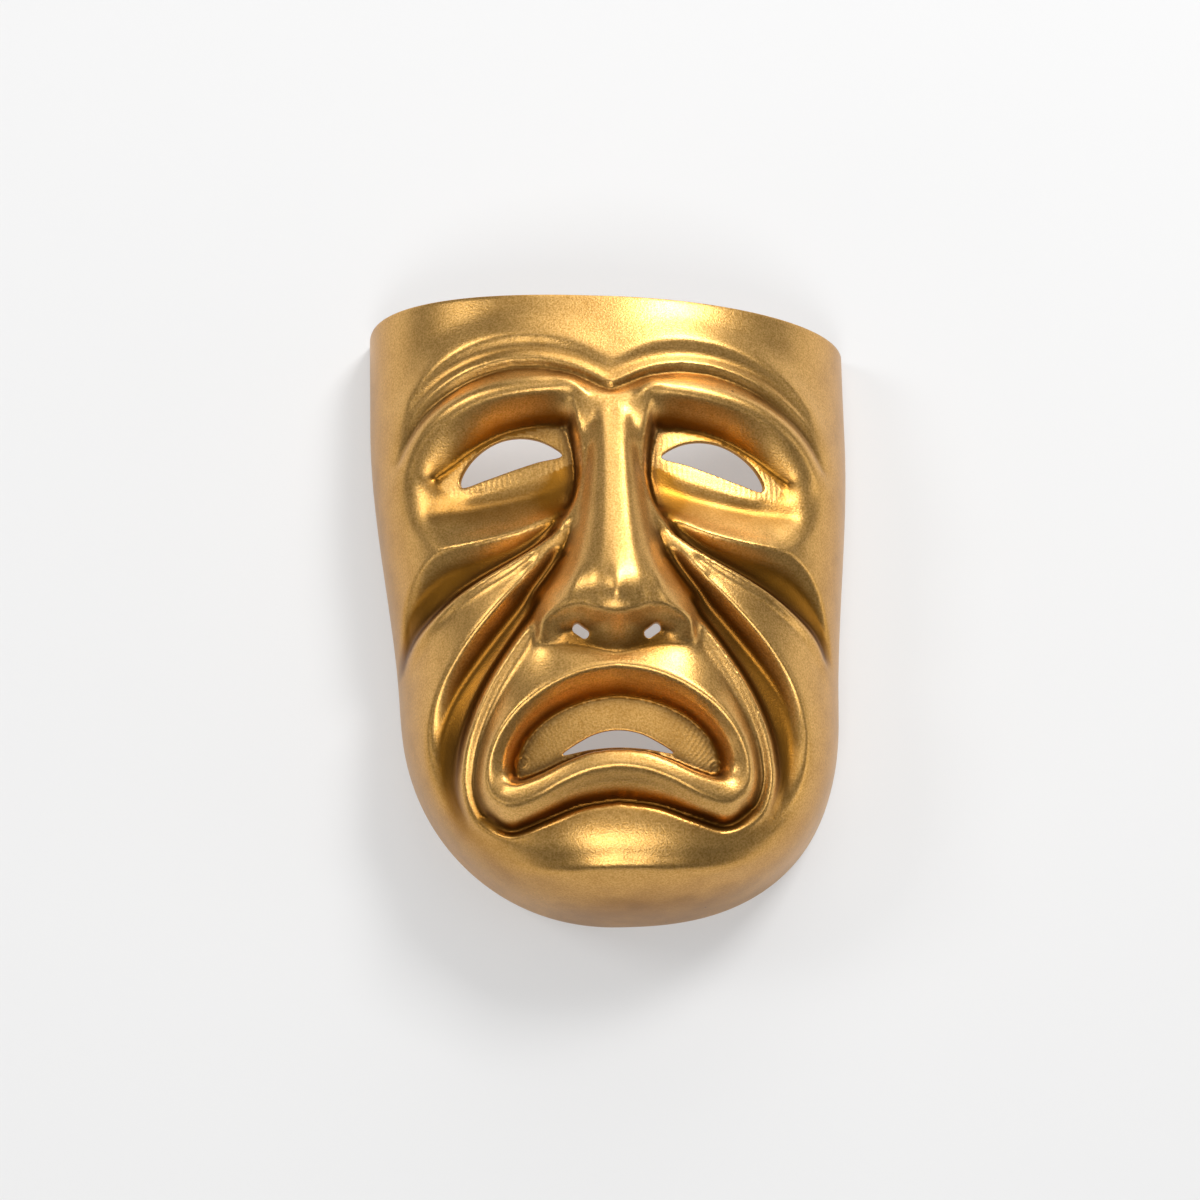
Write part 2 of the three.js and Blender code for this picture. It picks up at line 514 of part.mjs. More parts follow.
function maskGeometry() {
  const film = stretchFilm();
  const inside = insideFilm(film);
  const positions = [];
  const indices = [];
  for (const side of [-1, 1]) {
    const corners = facetCorners(side);
    const first = positions.length / 3;
    const outer = (corner) => first + 2 * corner;
    const inner = (corner) => first + 2 * corner + 1;
    for (const { x, y, onRim } of corners) {
      const base = new THREE.Vector3(side * x, y, onRim ? 0 : shellHeight(side * x, y));
      const normal = shellNormal(side * x, y);
      if (onRim) normal.setZ(0).normalize();
      const inward = base.clone().addScaledVector(normal, -WALL);
      base.z += readFilm(film, side * x, y);
      inward.z += readFilm(inside, side * x, y);
      positions.push(...trimmed(base).toArray(), ...trimmed(inward).toArray());
    }
    const edges = new Map();
    for (const joined of joinPoints(corners.map(({ flat }) => bulged(flat)))) {
      const [a, b, c] = side < 0 ? joined.toReversed() : joined;
      indices.push(outer(a), outer(b), outer(c), inner(c), inner(b), inner(a));
      for (const [from, to] of [[a, b], [b, c], [c, a]]) {
        if (!edges.delete(`${to} ${from}`)) edges.set(`${from} ${to}`, [from, to]);
      }
    }
    for (const [from, to] of edges.values()) {
      if (corners[from].x === 0 && corners[to].x === 0) continue;
      indices.push(outer(to), outer(from), inner(from), outer(to), inner(from), inner(to));
    }
  }
  const geometry = new THREE.BufferGeometry();
  geometry.setAttribute("position", new THREE.Float32BufferAttribute(positions, 3));
  geometry.setIndex(indices);
  return geometry;
}

// Turns a geometry into a closed solid that can be cut
function solid(geometry) {
  geometry.deleteAttribute("normal");
  geometry.deleteAttribute("uv");
  const merged = mergeVertices(geometry, 1e-4);
  const index = [];
  for (let k = 0; k < merged.index.count; k += 3) {
    const [a, b, c] = [0, 1, 2].map((n) => merged.index.getX(k + n));
    if (a !== b && b !== c && c !== a) index.push(a, b, c);
  }
  return new wasm.Manifold(new wasm.Mesh({
    numProp: 3,
    vertProperties: Float32Array.from(merged.attributes.position.array),
    triVerts: Uint32Array.from(index),
  }));
}

// Holes: outlines in the same hundredths as the carving, cut straight through

const eyeOutline = [[20.2, 73.5], [27.1, 75.7], [35.8, 76.7], [44.8, 76.4], [53, 74.8], [59.3, 72.3],
  [62.3, 69.6], [61.2, 68.7], [51.2, 69.7], [41, 71], [30.6, 72.3]];
const mouthOutline = [[22.2, 23.1], [15.5, 25], [8.1, 26.4], [0, 26.9], [-8.1, 26.4], [-15.5, 25],
  [-22.2, 23.1], [-11, 23.8], [0, 24.1], [11, 23.8]];

function cutter(curvePoints) {
  const shape = new THREE.Shape(curvePoints);
  const depth = 2 * CROWN;
  return solid(new THREE.ExtrudeGeometry(shape, { depth, bevelEnabled: false }).translate(0, 0, -1));
}

function outlineCutter(outline, side) {
  const curve = new THREE.CatmullRomCurve3(outline.map(drawn), true, "centripetal");
  return cutter(curve.getPoints(HOLE_STEPS).slice(1).map(({ x, y }) => new THREE.Vector2(side * x, y)));
}

function nostrilCutter(side) {
  const { x, y } = drawn([14.3, 41.8]);
  const centre = new THREE.Vector2(x, y);
  const lean = THREE.MathUtils.degToRad(35);
  const straight = (NOSTRIL_LENGTH - NOSTRIL_WIDTH) / 2;
  const points = [];
  for (let k = 0; k < HOLE_STEPS / 2; k++) {
    const angle = ((k + 0.5) / (HOLE_STEPS / 2)) * 2 * Math.PI;
    const along = Math.cos(angle) * NOSTRIL_WIDTH / 2 + Math.sign(Math.cos(angle)) * straight;
    const away = Math.sin(angle) * NOSTRIL_WIDTH / 2;
    const point = new THREE.Vector2(along, away).rotateAround(new THREE.Vector2(), lean).add(centre);
    points.push(point.setX(side * point.x));
  }
  return cutter(points);
}

function maskSolid() {
  let mask = solid(maskGeometry()).subtract(outlineCutter(mouthOutline, 1));
  for (const side of [-1, 1]) {
    mask = mask.subtract(outlineCutter(eyeOutline, side)).subtract(nostrilCutter(side));
  }
  return mask;
}

function toGeometry(body) {
  const { vertProperties, triVerts } = body.getMesh();
  const geometry = new THREE.BufferGeometry();
  geometry.setAttribute("position", new THREE.BufferAttribute(vertProperties, 3));
  geometry.setIndex(new THREE.BufferAttribute(triVerts, 1));
  return geometry;
}

// The origin is under the middle of the mask, at the rim
function centred(geometry) {
  geometry.computeBoundingBox();
  const middle = geometry.boundingBox.getCenter(new THREE.Vector3());
  return geometry.translate(-middle.x, -middle.y, 0);
}

const goldPaint = new THREE.MeshStandardMaterial({ color: 0xb58a43, metalness: 0.9, roughness: 0.35 });
const mask = new THREE.Mesh(centred(toGeometry(maskSolid())), goldPaint);
mask.name = "mask";

const greekTheatreMask = new THREE.Group();
greekTheatreMask.add(mask);

export default greekTheatreMask;
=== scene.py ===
# %% [markdown]
# # Greek theatre mask
# A thin tragedy mask for the stage, moulded in one piece and sprayed with satin gold paint.
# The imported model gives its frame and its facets. Here the same carving is worked out again on
# a fine mesh, with rounded folds, cut edges and paint, and lies on a pale lit table.

# %% Frame
import math

import bpy
import numpy as np
from mathutils import Matrix, Vector
from mathutils.geometry import delaunay_2d_cdt


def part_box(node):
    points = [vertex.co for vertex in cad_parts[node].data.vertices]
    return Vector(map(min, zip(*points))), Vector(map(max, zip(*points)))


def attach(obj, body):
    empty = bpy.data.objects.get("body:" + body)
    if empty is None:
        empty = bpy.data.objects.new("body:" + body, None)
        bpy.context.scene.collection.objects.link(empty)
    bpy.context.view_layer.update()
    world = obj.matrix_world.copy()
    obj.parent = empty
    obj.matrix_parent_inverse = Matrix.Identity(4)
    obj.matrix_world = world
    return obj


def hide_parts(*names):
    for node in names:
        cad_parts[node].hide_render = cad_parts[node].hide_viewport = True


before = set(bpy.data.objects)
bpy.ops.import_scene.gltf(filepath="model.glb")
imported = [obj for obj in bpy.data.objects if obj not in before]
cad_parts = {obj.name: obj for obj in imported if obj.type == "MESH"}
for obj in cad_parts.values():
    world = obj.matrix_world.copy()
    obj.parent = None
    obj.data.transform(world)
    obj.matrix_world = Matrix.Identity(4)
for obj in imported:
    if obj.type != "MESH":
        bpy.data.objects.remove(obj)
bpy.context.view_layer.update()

# %% [markdown]
# ## Sizes
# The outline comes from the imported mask: its width, its length without the slant of the brow
# edge, and its place in the frame. The shell's own sizes are in the same shares as in the
# solid, so the fine mesh lies on the facets. Everything below is in millimetres until the
# mesh is made.

# %% Sizes
MM = 0.001
low, high = (np.array(corner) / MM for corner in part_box("mask"))
HALF = (high[0] - low[0]) / 2
BROW_SLANT = 0.047            # the brow edge falls by this share of the way to the right
LENGTH = high[1] - low[1] - BROW_SLANT * HALF
CROWN = 0.8343 * HALF         # rim to the middle of the shell, without the nose
BROW_CROWN = 0.9167 * CROWN   # the same at the brow edge
CHIN_CROWN = 0.9722 * CROWN   # the same at the chin
JAW_LEFT = 0.8806 * HALF      # half width of the jaw on the left
JAW_RIGHT = 0.9328 * HALF     # and on the right
WALL = 2.0                    # thickness of the moulding
EDGE = 0.35                   # radius that paint and sanding leave on every cut edge
CHIN_Y, BROW_Y = -LENGTH / 2, LENGTH / 2
SHIFT_Y = low[1] - CHIN_Y     # the drawing's middle in the frame


def at_height(hundredths):
    """Height up the face: so many hundredths of the length above the chin."""
    return CHIN_Y + np.asarray(hundredths) / 100 * LENGTH


CORNER_Y = at_height(37.3)    # the jaw starts to turn in here
print("half width %.1f, length %.1f, crown %.1f mm" % (HALF, LENGTH, CROWN))

# %% [markdown]
# ## Base shell
# Such masks are pressed or moulded over a simple form: a half tube from temple to temple that
# closes round the chin and stays open at the brow. Each cross-section is a flattened ellipse.
# The jaw is narrower than the temples, and a little wider on the right than on the left.
#
# A stretched sphere would come close, but its poles crowd the points. These formulas give the
# height and the direction outwards at any place, wherever the carving wants a point.

# %% Base shell
JAW_FROM, JAW_FULL = at_height(84), at_height(32.6)    # the outline narrows between them
JAW_POWERS = (2.05, 2.5)      # roundness of the jaw in plan, left and right
SECTION_POWER = 2.5           # roundness of the cross-section
TEMPLE_FROM, TEMPLE_LOSS = at_height(70), 0.5          # rounder above, at the right temple
CHIN_FROM = at_height(42)     # squarer below, by one whole power at the chin


def smooth(start, end, value):
    """Rises from 0 at start to 1 at end, level at both: 3 t^2 - 2 t^3."""
    t = np.clip((value - start) / (end - start), 0, 1)
    return t * t * (3 - 2 * t)


def half_width(x, y):
    """Half width at a height: the temples' above, easing to the jaw's below."""
    jaw = np.where(x < 0, JAW_LEFT, JAW_RIGHT)
    return HALF + (jaw - HALF) * smooth(JAW_FROM, JAW_FULL, y)


def jaw_roundness(x):
    """Power of the jaw's outline in plan: 2 is an ellipse, more is squarer."""
    return np.where(x < 0, *JAW_POWERS)


def crown_height(y):
    """Height of the middle line: falls with the square of the way to either end."""
    fall = np.where(y > 0, (BROW_CROWN - CROWN) * (y / BROW_Y) ** 2,
                    (CHIN_CROWN - CROWN) * (y / CHIN_Y) ** 2)
    return CROWN + fall


def section_power(x, y):
    """Power of the cross-section: 2.5, less at the right temple and more at the chin."""
    temple = np.where(x > 0, -TEMPLE_LOSS * smooth(TEMPLE_FROM, BROW_Y, y), 0)
    return SECTION_POWER + temple + smooth(CHIN_FROM, CHIN_Y, y)


def rim_share(x, y):
    """Way from the middle line, 0, to the rim, 1: (across^n + down^n)^(1/n)."""
    power = jaw_roundness(x)
    down = np.maximum(0, (CORNER_Y - y) / (CORNER_Y - CHIN_Y))
    return np.minimum(1, (np.abs(x / half_width(x, y)) ** power + down ** power) ** (1 / power))


def shell_height(x, y):
    """Height of the plain shell: crown (1 - share^p)^(1/p)."""
    power = section_power(x, y)
    return crown_height(y) * (1 - rim_share(x, y) ** power) ** (1 / power)


def shell_normal(x, y):
    """Direction out of the plain shell, from the slopes of its height, finite at the rim."""
    power, corner, width = section_power(x, y), jaw_roundness(x), half_width(x, y)
    share = np.maximum(rim_share(x, y), 1e-6)
    down = np.maximum(0, (CORNER_Y - y) / (CORNER_Y - CHIN_Y))
    across_growth = share ** (1 - corner) * np.abs(x / width) ** (corner - 1) / width
    up_growth = -share ** (1 - corner) * down ** (corner - 1) / (CORNER_Y - CHIN_Y)
    left = np.maximum(0, 1 - share ** power)
    flat, height = left ** (1 - 1 / power), left ** (1 / power)
    fall = crown_height(y) * share ** (power - 1)
    crown_slope = crown_height(y + 0.5) - crown_height(y - 0.5)
    normal = np.stack([fall * across_growth * np.sign(x),
                       fall * up_growth - crown_slope * height * flat, flat], axis=-1)
    return normal / np.linalg.norm(normal, axis=-1, keepdims=True)


print("plain shell: %.1f mm high at the brow edge, %.1f mm at the chin's edge"
      % (shell_height(0.0, BROW_Y), shell_height(0.0, at_height(5))))

# %% [markdown]
# ## Lines of the face
# The carving is free modelling, so it is drawn as the sculptor sees it: by the crests, lips
# and feet of its folds. Each line has points of hundredths of the half width from the middle,
# of the length from the chin, and of the crown out of the plain shell. Its second entry is
# how round it is on the real mask, as a radius in millimetres. One half is drawn, and the
# other half is its mirror. Sculpting with brushes would be quicker, but a line that has a
# name can be measured, and moved by a millimetre without touching its neighbours.

# %% Lines of the face
LINES = [
    # forehead
    ("brow edge", 3, [(0, 100, 0), (57.9, 100, 0), (99.7, 100, 0)]),
    ("forehead", 3, [(0, 95.3, 0), (34.8, 97.2, 0), (71.8, 93.4, 0), (92.7, 82.2, 0)]),
    ("shoulder over the brow", 2.6, [(0, 88.6, 0.7), (16.8, 91.9, 1.4), (35.3, 92.7, 2.1),
        (53.9, 91.6, 2.1), (70.7, 88.3, 2.1), (83.4, 83.1, 1.4), (90.4, 75.7, 0.4)]),
    ("dip under the shoulder", 3.2, [(0, 86.6, -1.8), (16.2, 89.7, -2), (33.6, 91, -2),
        (51.6, 90, -2), (68.4, 87.2, -1.9), (80, 82.8, -1.4)]),
    ("upper fold", 0.9, [(0, 84.6, -0.4), (15.6, 87.7, -0.3), (32.8, 88.9, -0.3),
        (50.2, 88.1, -0.3), (66.2, 85.7, -0.3), (80, 81.6, -0.3), (88.7, 75.4, -0.2)]),
    ("groove under the fold", 1, [(0, 83.5, -3), (15.1, 86.2, -3.8), (32.4, 87.5, -3.9),
        (46.3, 86.9, -3.9), (62.6, 84.4, -3.8), (77.4, 80, -3), (87, 73.9, -1.6)]),
    ("brow roll", 2.4, [(16.2, 84.8, 3.1), (29, 84.6, 3.5), (43.6, 83.8, 3.5), (57.9, 82.5, 3.3),
        (71.8, 79.8, 2.8), (82.3, 75.7, 1.4), (87.1, 71, 0.6)]),
    ("brow lip", 1.6, [(15.1, 83.4, 3), (29.3, 82.8, 2.8), (42.4, 82.2, 2.6), (55.3, 81.2, 2.4),
        (67.3, 79.1, 1.9), (78.1, 76, 1), (84.6, 71.6, 0.1)]),
    # eye socket
    ("foot of the overhang", 0.8, [(18.2, 78.2, -16.8), (30.2, 78.5, -18.1), (43.5, 77.5, -18.1),
        (56.2, 74.9, -16.9), (66, 72, -14.8), (72, 70.6, -12.8)]),
    ("eye panel", 2, [(22, 75.7, -17.3), (35.9, 74.7, -17.6), (51, 72.6, -16.9), (63, 69.8, -14.6),
        (71, 68.6, -12)]),
    ("lid", 0.7, [(21.9, 72.2, -16.9), (30.1, 70.5, -16.9), (40, 69.5, -16.9), (49.9, 68.4, -16.3),
        (59.4, 68, -14.8)]),
    ("lid roll", 0.7, [(22, 70.6, -16.7), (31.3, 69.2, -16.7), (40.6, 68.3, -16.7),
        (49.8, 67.5, -16), (59.5, 67, -14.4)]),
    ("scoop", 3.2, [(21.5, 67.8, -17.6), (34.8, 66.2, -18.4), (48.7, 65.2, -17.8),
        (62.6, 64.6, -14.4), (73, 64.8, -10)]),
    ("foot of the scoop", 4, [(24, 65, -15.6), (37.4, 63.2, -14.8), (52, 62, -13.2),
        (66, 61.3, -9.6)]),
    ("scoop ledge", 0.7, [(20.4, 62.4, -10.5), (27.2, 61.6, -9.6), (37.4, 60, -8.4),
        (54.1, 58.6, -6.6), (71.3, 57.9, -2.8)]),
    ("outer rim of the socket", 1.5, [(84.6, 71.6, 0), (87.3, 68.5, -0.8), (85.9, 65.4, -1.4),
        (82.3, 62.5, -1.8), (77.2, 60.1, -2.2), (71.3, 57.9, -2.8)]),
    ("inner ridge", 0.8, [(15.1, 83.4, 3), (14.4, 79.4, -0.2), (13.3, 75.7, -1.4), (12.4, 72.2, -1),
        (12.6, 68.9, -0.4), (14.1, 65.7, 0.1), (16.8, 62.5, 0.2), (21.4, 59.6, 0)]),
    ("inner wall foot", 1, [(18.2, 78.2, -16.8), (16.3, 75.4, -17.2), (15, 72.2, -17.3),
        (15.1, 68.9, -17.2), (16.8, 65.8, -15.4), (18.9, 64, -12.6)]),
    # leaf-shaped hollow under the socket
    ("foot of the scoop ledge", 2.6, [(23.2, 60.6, -12), (30, 58.9, -14), (38.2, 57.3, -15),
        (54.5, 55.6, -14.4), (68.5, 54.2, -12.6), (77, 51.4, -10.4), (82.4, 47.9, -8),
        (85.8, 44.2, -5), (88, 40.6, -2)]),
    ("bottom of the leaf", 1.6, [(25.2, 59.2, -11.5), (32.4, 57.5, -15), (43.2, 55.3, -17),
        (54.2, 53.2, -17.4), (64.9, 50.8, -16.2), (74.6, 48, -13.4), (81.6, 45.2, -9),
        (86.2, 41, -4)]),
    ("outer edge of the hollow", 0.9, [(71.3, 57.9, -2.8), (80, 55.2, -1.5), (85.1, 51.5, -0.8),
        (87.4, 47.3, -0.6), (89, 42.9, -0.3), (89.5, 38.5, 0)]),
    ("tear ridge", 0.7, [(21.4, 59.4, -0.6), (31.7, 56.3, 0.5), (42.6, 53.7, 1.1),
        (53.8, 51.4, 1.1), (64.5, 48.9, 1.1), (74.7, 45.9, 0.9), (83, 42.7, 0.4), (87.6, 37.6, 0)]),
    ("foot of the tear ridge", 1.4, [(33.5, 54.6, -0.9), (44, 51.9, -1.2), (54.5, 49.6, -1.2),
        (64.5, 47, -1.1), (73.8, 43.9, -0.8), (81, 40.2, -0.4), (85.2, 35.6, 0)]),
    ("cheek panel", 3, [(37.1, 51.8, -0.2), (49.8, 47.8, 0.4), (62.6, 43.6, 0.8), (72.5, 38.4, 1.2),
        (79.5, 32.6, 1.2), (81.5, 25.6, 0.8)]),
    # cheek fold and the hollow beside the mouth
    ("cheek fold", 2.4, [(17.7, 59.3, -1.1), (28.6, 54.4, 0.8), (40.7, 50, 1.9), (52, 45.2, 2.4),
        (62.8, 40.3, 2.6), (71.8, 34.8, 2.4), (76.5, 28.5, 1.8), (76.2, 22, 1.2), (71.7, 15.7, 0.8),
        (62, 10.5, 0.5), (47.9, 7.6, 0.8), (24.1, 6.6, 1.4), (0, 6.8, 1.6)]),
    ("edge of the chin", 1.4, [(62, 8.9, 1.2), (47, 5.7, 3.6), (24, 4.7, 5), (0, 4.9, 5.4)]),
    ("foot of the cheek fold", 3, [(22.5, 55.2, -6.9), (35.3, 48.9, -10.8), (46.9, 43.8, -11.8),
        (57, 38.5, -11.8), (65, 33.3, -10.8), (69.3, 28, -9.2), (69, 22.3, -7.4), (65, 16.9, -5.2),
        (57.5, 12, -2.8), (47.5, 8.9, -0.8)]),
    ("floor of the cheek hollow", 2, [(30.8, 47.6, -8.5), (35.6, 45.6, -11), (44.2, 41, -12.8),
        (52.2, 36.2, -13.2), (58.8, 30.8, -12.4), (63.2, 24.6, -10), (64.2, 18.4, -7),
        (60.4, 13.4, -3.8)]),
    ("cheek edge beside the nose", 1.2, [(17.7, 59.3, -0.8), (20.3, 55.7, -0.8), (23.4, 52.6, -0.8),
        (27.2, 49.6, -0.6), (31.1, 46.9, -0.8), (32.6, 45.2, -1.6)]),
    ("muzzle edge", 1.2, [(33.2, 44.4, -0.4), (42.2, 39.6, 0.4), (50.2, 34.6, 0.8), (56.8, 29.2, 1),
        (61.2, 23.6, 1), (61.9, 17.7, 0.6), (57, 13, -0.6), (42.9, 10.2, -1.5), (28.6, 11.7, -2.6),
        (14.7, 13.7, -3.3), (0, 14.6, -3.5)]),
    ("channel inside the muzzle edge", 2.2, [(31.3, 42.4, -1.6), (38.9, 38.2, -2.4),
        (46.1, 33.5, -3.2), (52.1, 28.4, -3.8), (56, 23.2, -4.4), (56.6, 18, -5.6),
        (53.4, 14.5, -7)]),
    ("channel under the lower lip", 0.9, [(53.4, 14.5, -7), (43, 11.9, -8.6), (30.1, 12.9, -9.4),
        (15.1, 14.7, -9.8), (0, 15.5, -9.8)]),
    # mouth
    ("lip roll", 1.6, [(0, 36.4, 4.4), (11.5, 35.6, 4.6), (22.4, 34.1, 4.9), (32.7, 31.9, 5),
        (41.7, 29.1, 5), (48.7, 25.3, 5), (52.5, 20.9, 4.7), (51.9, 16.9, 4.3), (44.6, 14.6, 4.3),
        (32.6, 15.6, 4.6), (22.1, 17.7, 5.1), (11.4, 19.3, 5.7), (0, 20, 5.9)]),
    ("under the lower lip", 1.6, [(50.2, 15, -1.2), (44.2, 13.1, -0.6), (32.2, 14.1, -0.6),
        (21.8, 16.1, -0.3), (11.2, 17.6, 0.2), (0, 18.2, 0.4)]),
    ("inner edge of the lips", 1.4, [(0, 35.1, -0.6), (10.9, 34.4, -0.4), (20.9, 32.9, -0.2),
        (30.4, 30.6, 0), (38.5, 27.7, 0), (44.6, 24.1, 0), (46.9, 20.3, 0), (44.7, 17.8, 1.4),
        (32.4, 18.6, 3.1), (21.4, 20.7, 3.6), (11, 22.2, 4.2), (0, 22.7, 4.2)]),
    ("mouth panel", 0.7, [(0, 32.5, -12.5), (10.5, 31.9, -12.5), (20.6, 30.6, -12.5),
        (29.7, 28.5, -12.5), (36.7, 25.5, -12.2), (40.1, 22, -11.7), (39.4, 19.7, -11.4),
        (30.7, 20.4, -11.7), (20.9, 22, -12.2), (11, 23.2, -12.5), (0, 23.5, -12.5)]),
    # nose
    ("nose root", 2, [(0, 82.2, 1.9), (7, 82, 2.2)]),
    ("side of the nose root", 2, [(22.6, 84.8, 3.6), (16.6, 84.2, 4.2), (11.4, 82.6, 3.3),
        (8.6, 80.3, 1.1), (8.1, 77.1, 0.7)]),
    ("bridge", 3.2, [(4.2, 79.9, 1.9), (4.6, 74.7, 6.7), (5, 67.2, 12.2), (5.6, 59.7, 17.6),
        (6.8, 53.2, 22.8), (8.2, 49.4, 25.4), (9, 46.6, 24.8)]),
    ("middle of the bridge", 2.4, [(0, 79.4, 1.7), (0, 74.7, 6.5), (0, 67.2, 12.1), (0, 59.7, 17.7),
        (0, 53.2, 23.6), (0, 49.2, 27.6), (0, 46.2, 28.8)]),
    ("flank of the nose", 3.2, [(7.3, 74.7, 4.4), (8.6, 67.2, 9), (10.6, 59.7, 13.2),
        (13.6, 53.2, 17.8), (16.8, 49.2, 20.8), (18.2, 47, 20.4)]),
    ("side of the nose", 3, [(9.6, 73.3, -0.8), (11, 68.2, 1), (13, 62.5, 3), (16.4, 56.9, 4.2),
        (21, 52.2, 4.8), (26.2, 48.5, 5), (29.9, 45.7, 5)]),
    ("nostril rim", 1.2, [(30.8, 41.6, 5.6), (29, 43.3, 11.1), (23.8, 44.8, 15.2), (18.1, 45.2, 18),
        (12.3, 44.9, 20.6), (6.5, 44.1, 22.6), (0, 43.6, 22.8)]),
    ("nostril ridge inside", 1.5, [(26.7, 43.1, 8.3), (19.7, 43.9, 11.1), (12.7, 43.8, 13.1)]),
    ("under the nose", 0.7, [(30.4, 40.1, 0.9), (19.8, 39.8, 1.2), (9.7, 39.2, 1.6),
        (0, 38.3, 1.8)]),
    ("nostril bowl", 1.5, [(6, 42.2, 11), (9.5, 42, 7.4), (14.5, 42, 4.6), (21.4, 41.8, 2.8)]),
    ("septum", 0.8, [(0, 43.6, 22.8), (0, 41.7, 12.2), (0, 39.8, 4.6)]),
]


print("%d lines with %d points" % (len(LINES), sum(len(points) for *_, points in LINES)))

# %% Curves through drawn points
CURVE_STEPS = 24              # points that a curve gets from each drawn point to the next


def curve(points, closed=False):
    """Centripetal Catmull-Rom curve through points: each span is a cubic whose slopes weigh
    the neighbouring points by the square root of their distances."""
    p = np.asarray(points, float)
    if closed:
        p = np.concatenate([p[-1:], p, p[:2]])
    else:
        p = np.concatenate([2 * p[:1] - p[1:2], p, 2 * p[-1:] - p[-2:-1]])
    gap = np.maximum(np.linalg.norm(np.diff(p, axis=0), axis=1), 1e-9)[:, None] ** 0.5
    before, here, after = gap[:-2], gap[1:-1], gap[2:]
    rise = np.diff(p, axis=0)
    slope1 = rise[:-2] / before - (p[2:-1] - p[:-3]) / (before + here) + rise[1:-1] / here
    slope2 = rise[1:-1] / here - (p[3:] - p[1:-2]) / (here + after) + rise[2:] / after
    t = (np.arange(CURVE_STEPS) / CURVE_STEPS)[None, :, None]
    start, end = p[1:-2, None], p[2:-1, None]
    slope1, slope2 = (slope1 * here)[:, None], (slope2 * here)[:, None]
    spans = (start * (2 * t ** 3 - 3 * t ** 2 + 1) + slope1 * (t ** 3 - 2 * t ** 2 + t)
             + end * (3 * t ** 2 - 2 * t ** 3) + slope2 * (t ** 3 - t ** 2)).reshape(-1, p.shape[1])
    return spans if closed else np.concatenate([spans, p[-2:-1]])


def drawn(points):
    """Hundredths of half width, length and crown in millimetres: across, y and, where it is
    given, how proud of the plain shell."""
    p = np.asarray(points, float)
    return np.column_stack([p[:, 0] / 100 * HALF, at_height(p[:, 1]), p[:, 2:] / 100 * CROWN])


# %% [markdown]
# ## Film between the lines
# Between its lines the skin of the face runs like a stretched film: each point settles at the
# mean of its neighbours, and the lines hold it. Surfaces lofted from line to line would do as
# well, but they meet badly where three folds run together, and a film has no such seams. It
# is settled on coarse squares first and then on squares of half a millimetre.

# %% Film between the lines
CELL = 0.5                    # side of the smallest squares
PULL = 40.0                   # how strongly a line holds the film
TOUCHES = 4                   # points of a line along the side of a square
STRIDE = 1.92                 # share of its way that each square moves in a sweep, under 2
SWEEPS = {4: 200, 2: 260, 1: 420}      # pairs of sweeps on squares of so many cells
HELD_SHARE = 0.98             # the film lies on the plain shell from here to the rim


def grid_axes(cell):
    """Middles of the squares: across from the middle line, and up from the chin."""
    return (np.arange(int(HALF / cell) + 4) * cell,
            CHIN_Y - 2 * cell + np.arange(int(LENGTH / cell) + 6) * cell)


def spread(values, cell):
    """Sums the lines' pull and pulled value on the four squares round each of their points."""
    across, up = grid_axes(cell)
    pull, pulled = (np.zeros((len(up), len(across))) for _ in range(2))
    for (_, _, points), value in zip(LINES, values):
        line = curve(np.column_stack([drawn(points), value]))
        run = np.concatenate([[0], np.cumsum(np.hypot(*np.diff(line[:, :2], axis=0).T))])
        even = np.linspace(0, run[-1], int(run[-1] / cell * TOUCHES) + 2)
        x, y, _, v = (np.interp(even, run, line[:, k]) for k in range(4))
        i, j = x / cell, (y - up[0]) / cell
        i0, j0 = i.astype(int), j.astype(int)
        for di, dj in ((0, 0), (1, 0), (0, 1), (1, 1)):
            share = np.abs(1 - di - i + i0) * np.abs(1 - dj - j + j0)
            np.add.at(pull, (j0 + dj, i0 + di), share * PULL / TOUCHES)
            np.add.at(pulled, (j0 + dj, i0 + di), share * v * PULL / TOUCHES)
    return pull, pulled


def stretch(values):
    """Settles the film: each square is (sum of its four neighbours + pulled) / (4 + pull)."""
    film = None
    for times in SWEEPS:
        cell = CELL * times
        across, up = grid_axes(cell)
        pull, pulled = spread(values, cell)
        x, y = np.meshgrid(across, up)
        if film is None:
            film = np.zeros_like(x)
        else:
            film = read(film, cell * 2, x, y)
        free = rim_share(x, y) < HELD_SHARE
        free[:, -1] = free[0] = free[-1] = False
        film[~free] = 0
        column, row = np.indices(x.shape)[::-1]
        for sweep in range(2 * SWEEPS[times]):
            turn = free & ((row + column) % 2 == sweep % 2)
            around = np.zeros_like(film)
            around[1:-1] = film[2:] + film[:-2]
            around[:, 1:-1] += film[:, 2:] + film[:, :-2]
            around[:, 0] += 2 * film[:, 1]
            settled = (around + pulled) / (4 + pull)
            film = np.where(turn, film + STRIDE * (settled - film), film)
    return film


def read(film, cell, x, y):
    """Film at any place, between the four squares round it."""
    across, up = grid_axes(cell)
    i = np.clip(np.abs(x) / cell, 0, len(across) - 1.001)
    j = np.clip((y - up[0]) / cell, 0, len(up) - 1.001)
    i0, j0 = i.astype(int), j.astype(int)
    i, j = i - i0, j - j0
    return ((film[j0, i0] * (1 - i) + film[j0, i0 + 1] * i) * (1 - j)
            + (film[j0 + 1, i0] * (1 - i) + film[j0 + 1, i0 + 1] * i) * j)


sharp = stretch([drawn(points)[:, 2] for _, _, points in LINES])
print("sharp film from %.1f to %.1f mm" % (sharp.min(), sharp.max()))

# %% [markdown]
# ## Rounded folds
# A moulding has no sharp lines: its lips are crisp and its cheeks turn softly. A second film
# spreads the roundness of the lines, and the first is blurred by it, from place to place. A
# Bevel would round every edge alike, so it can't do that.

# %% Rounded folds
FIRST_BLUR, BLURS = 0.5, 4    # blurs of 0.5 mm and its doubles


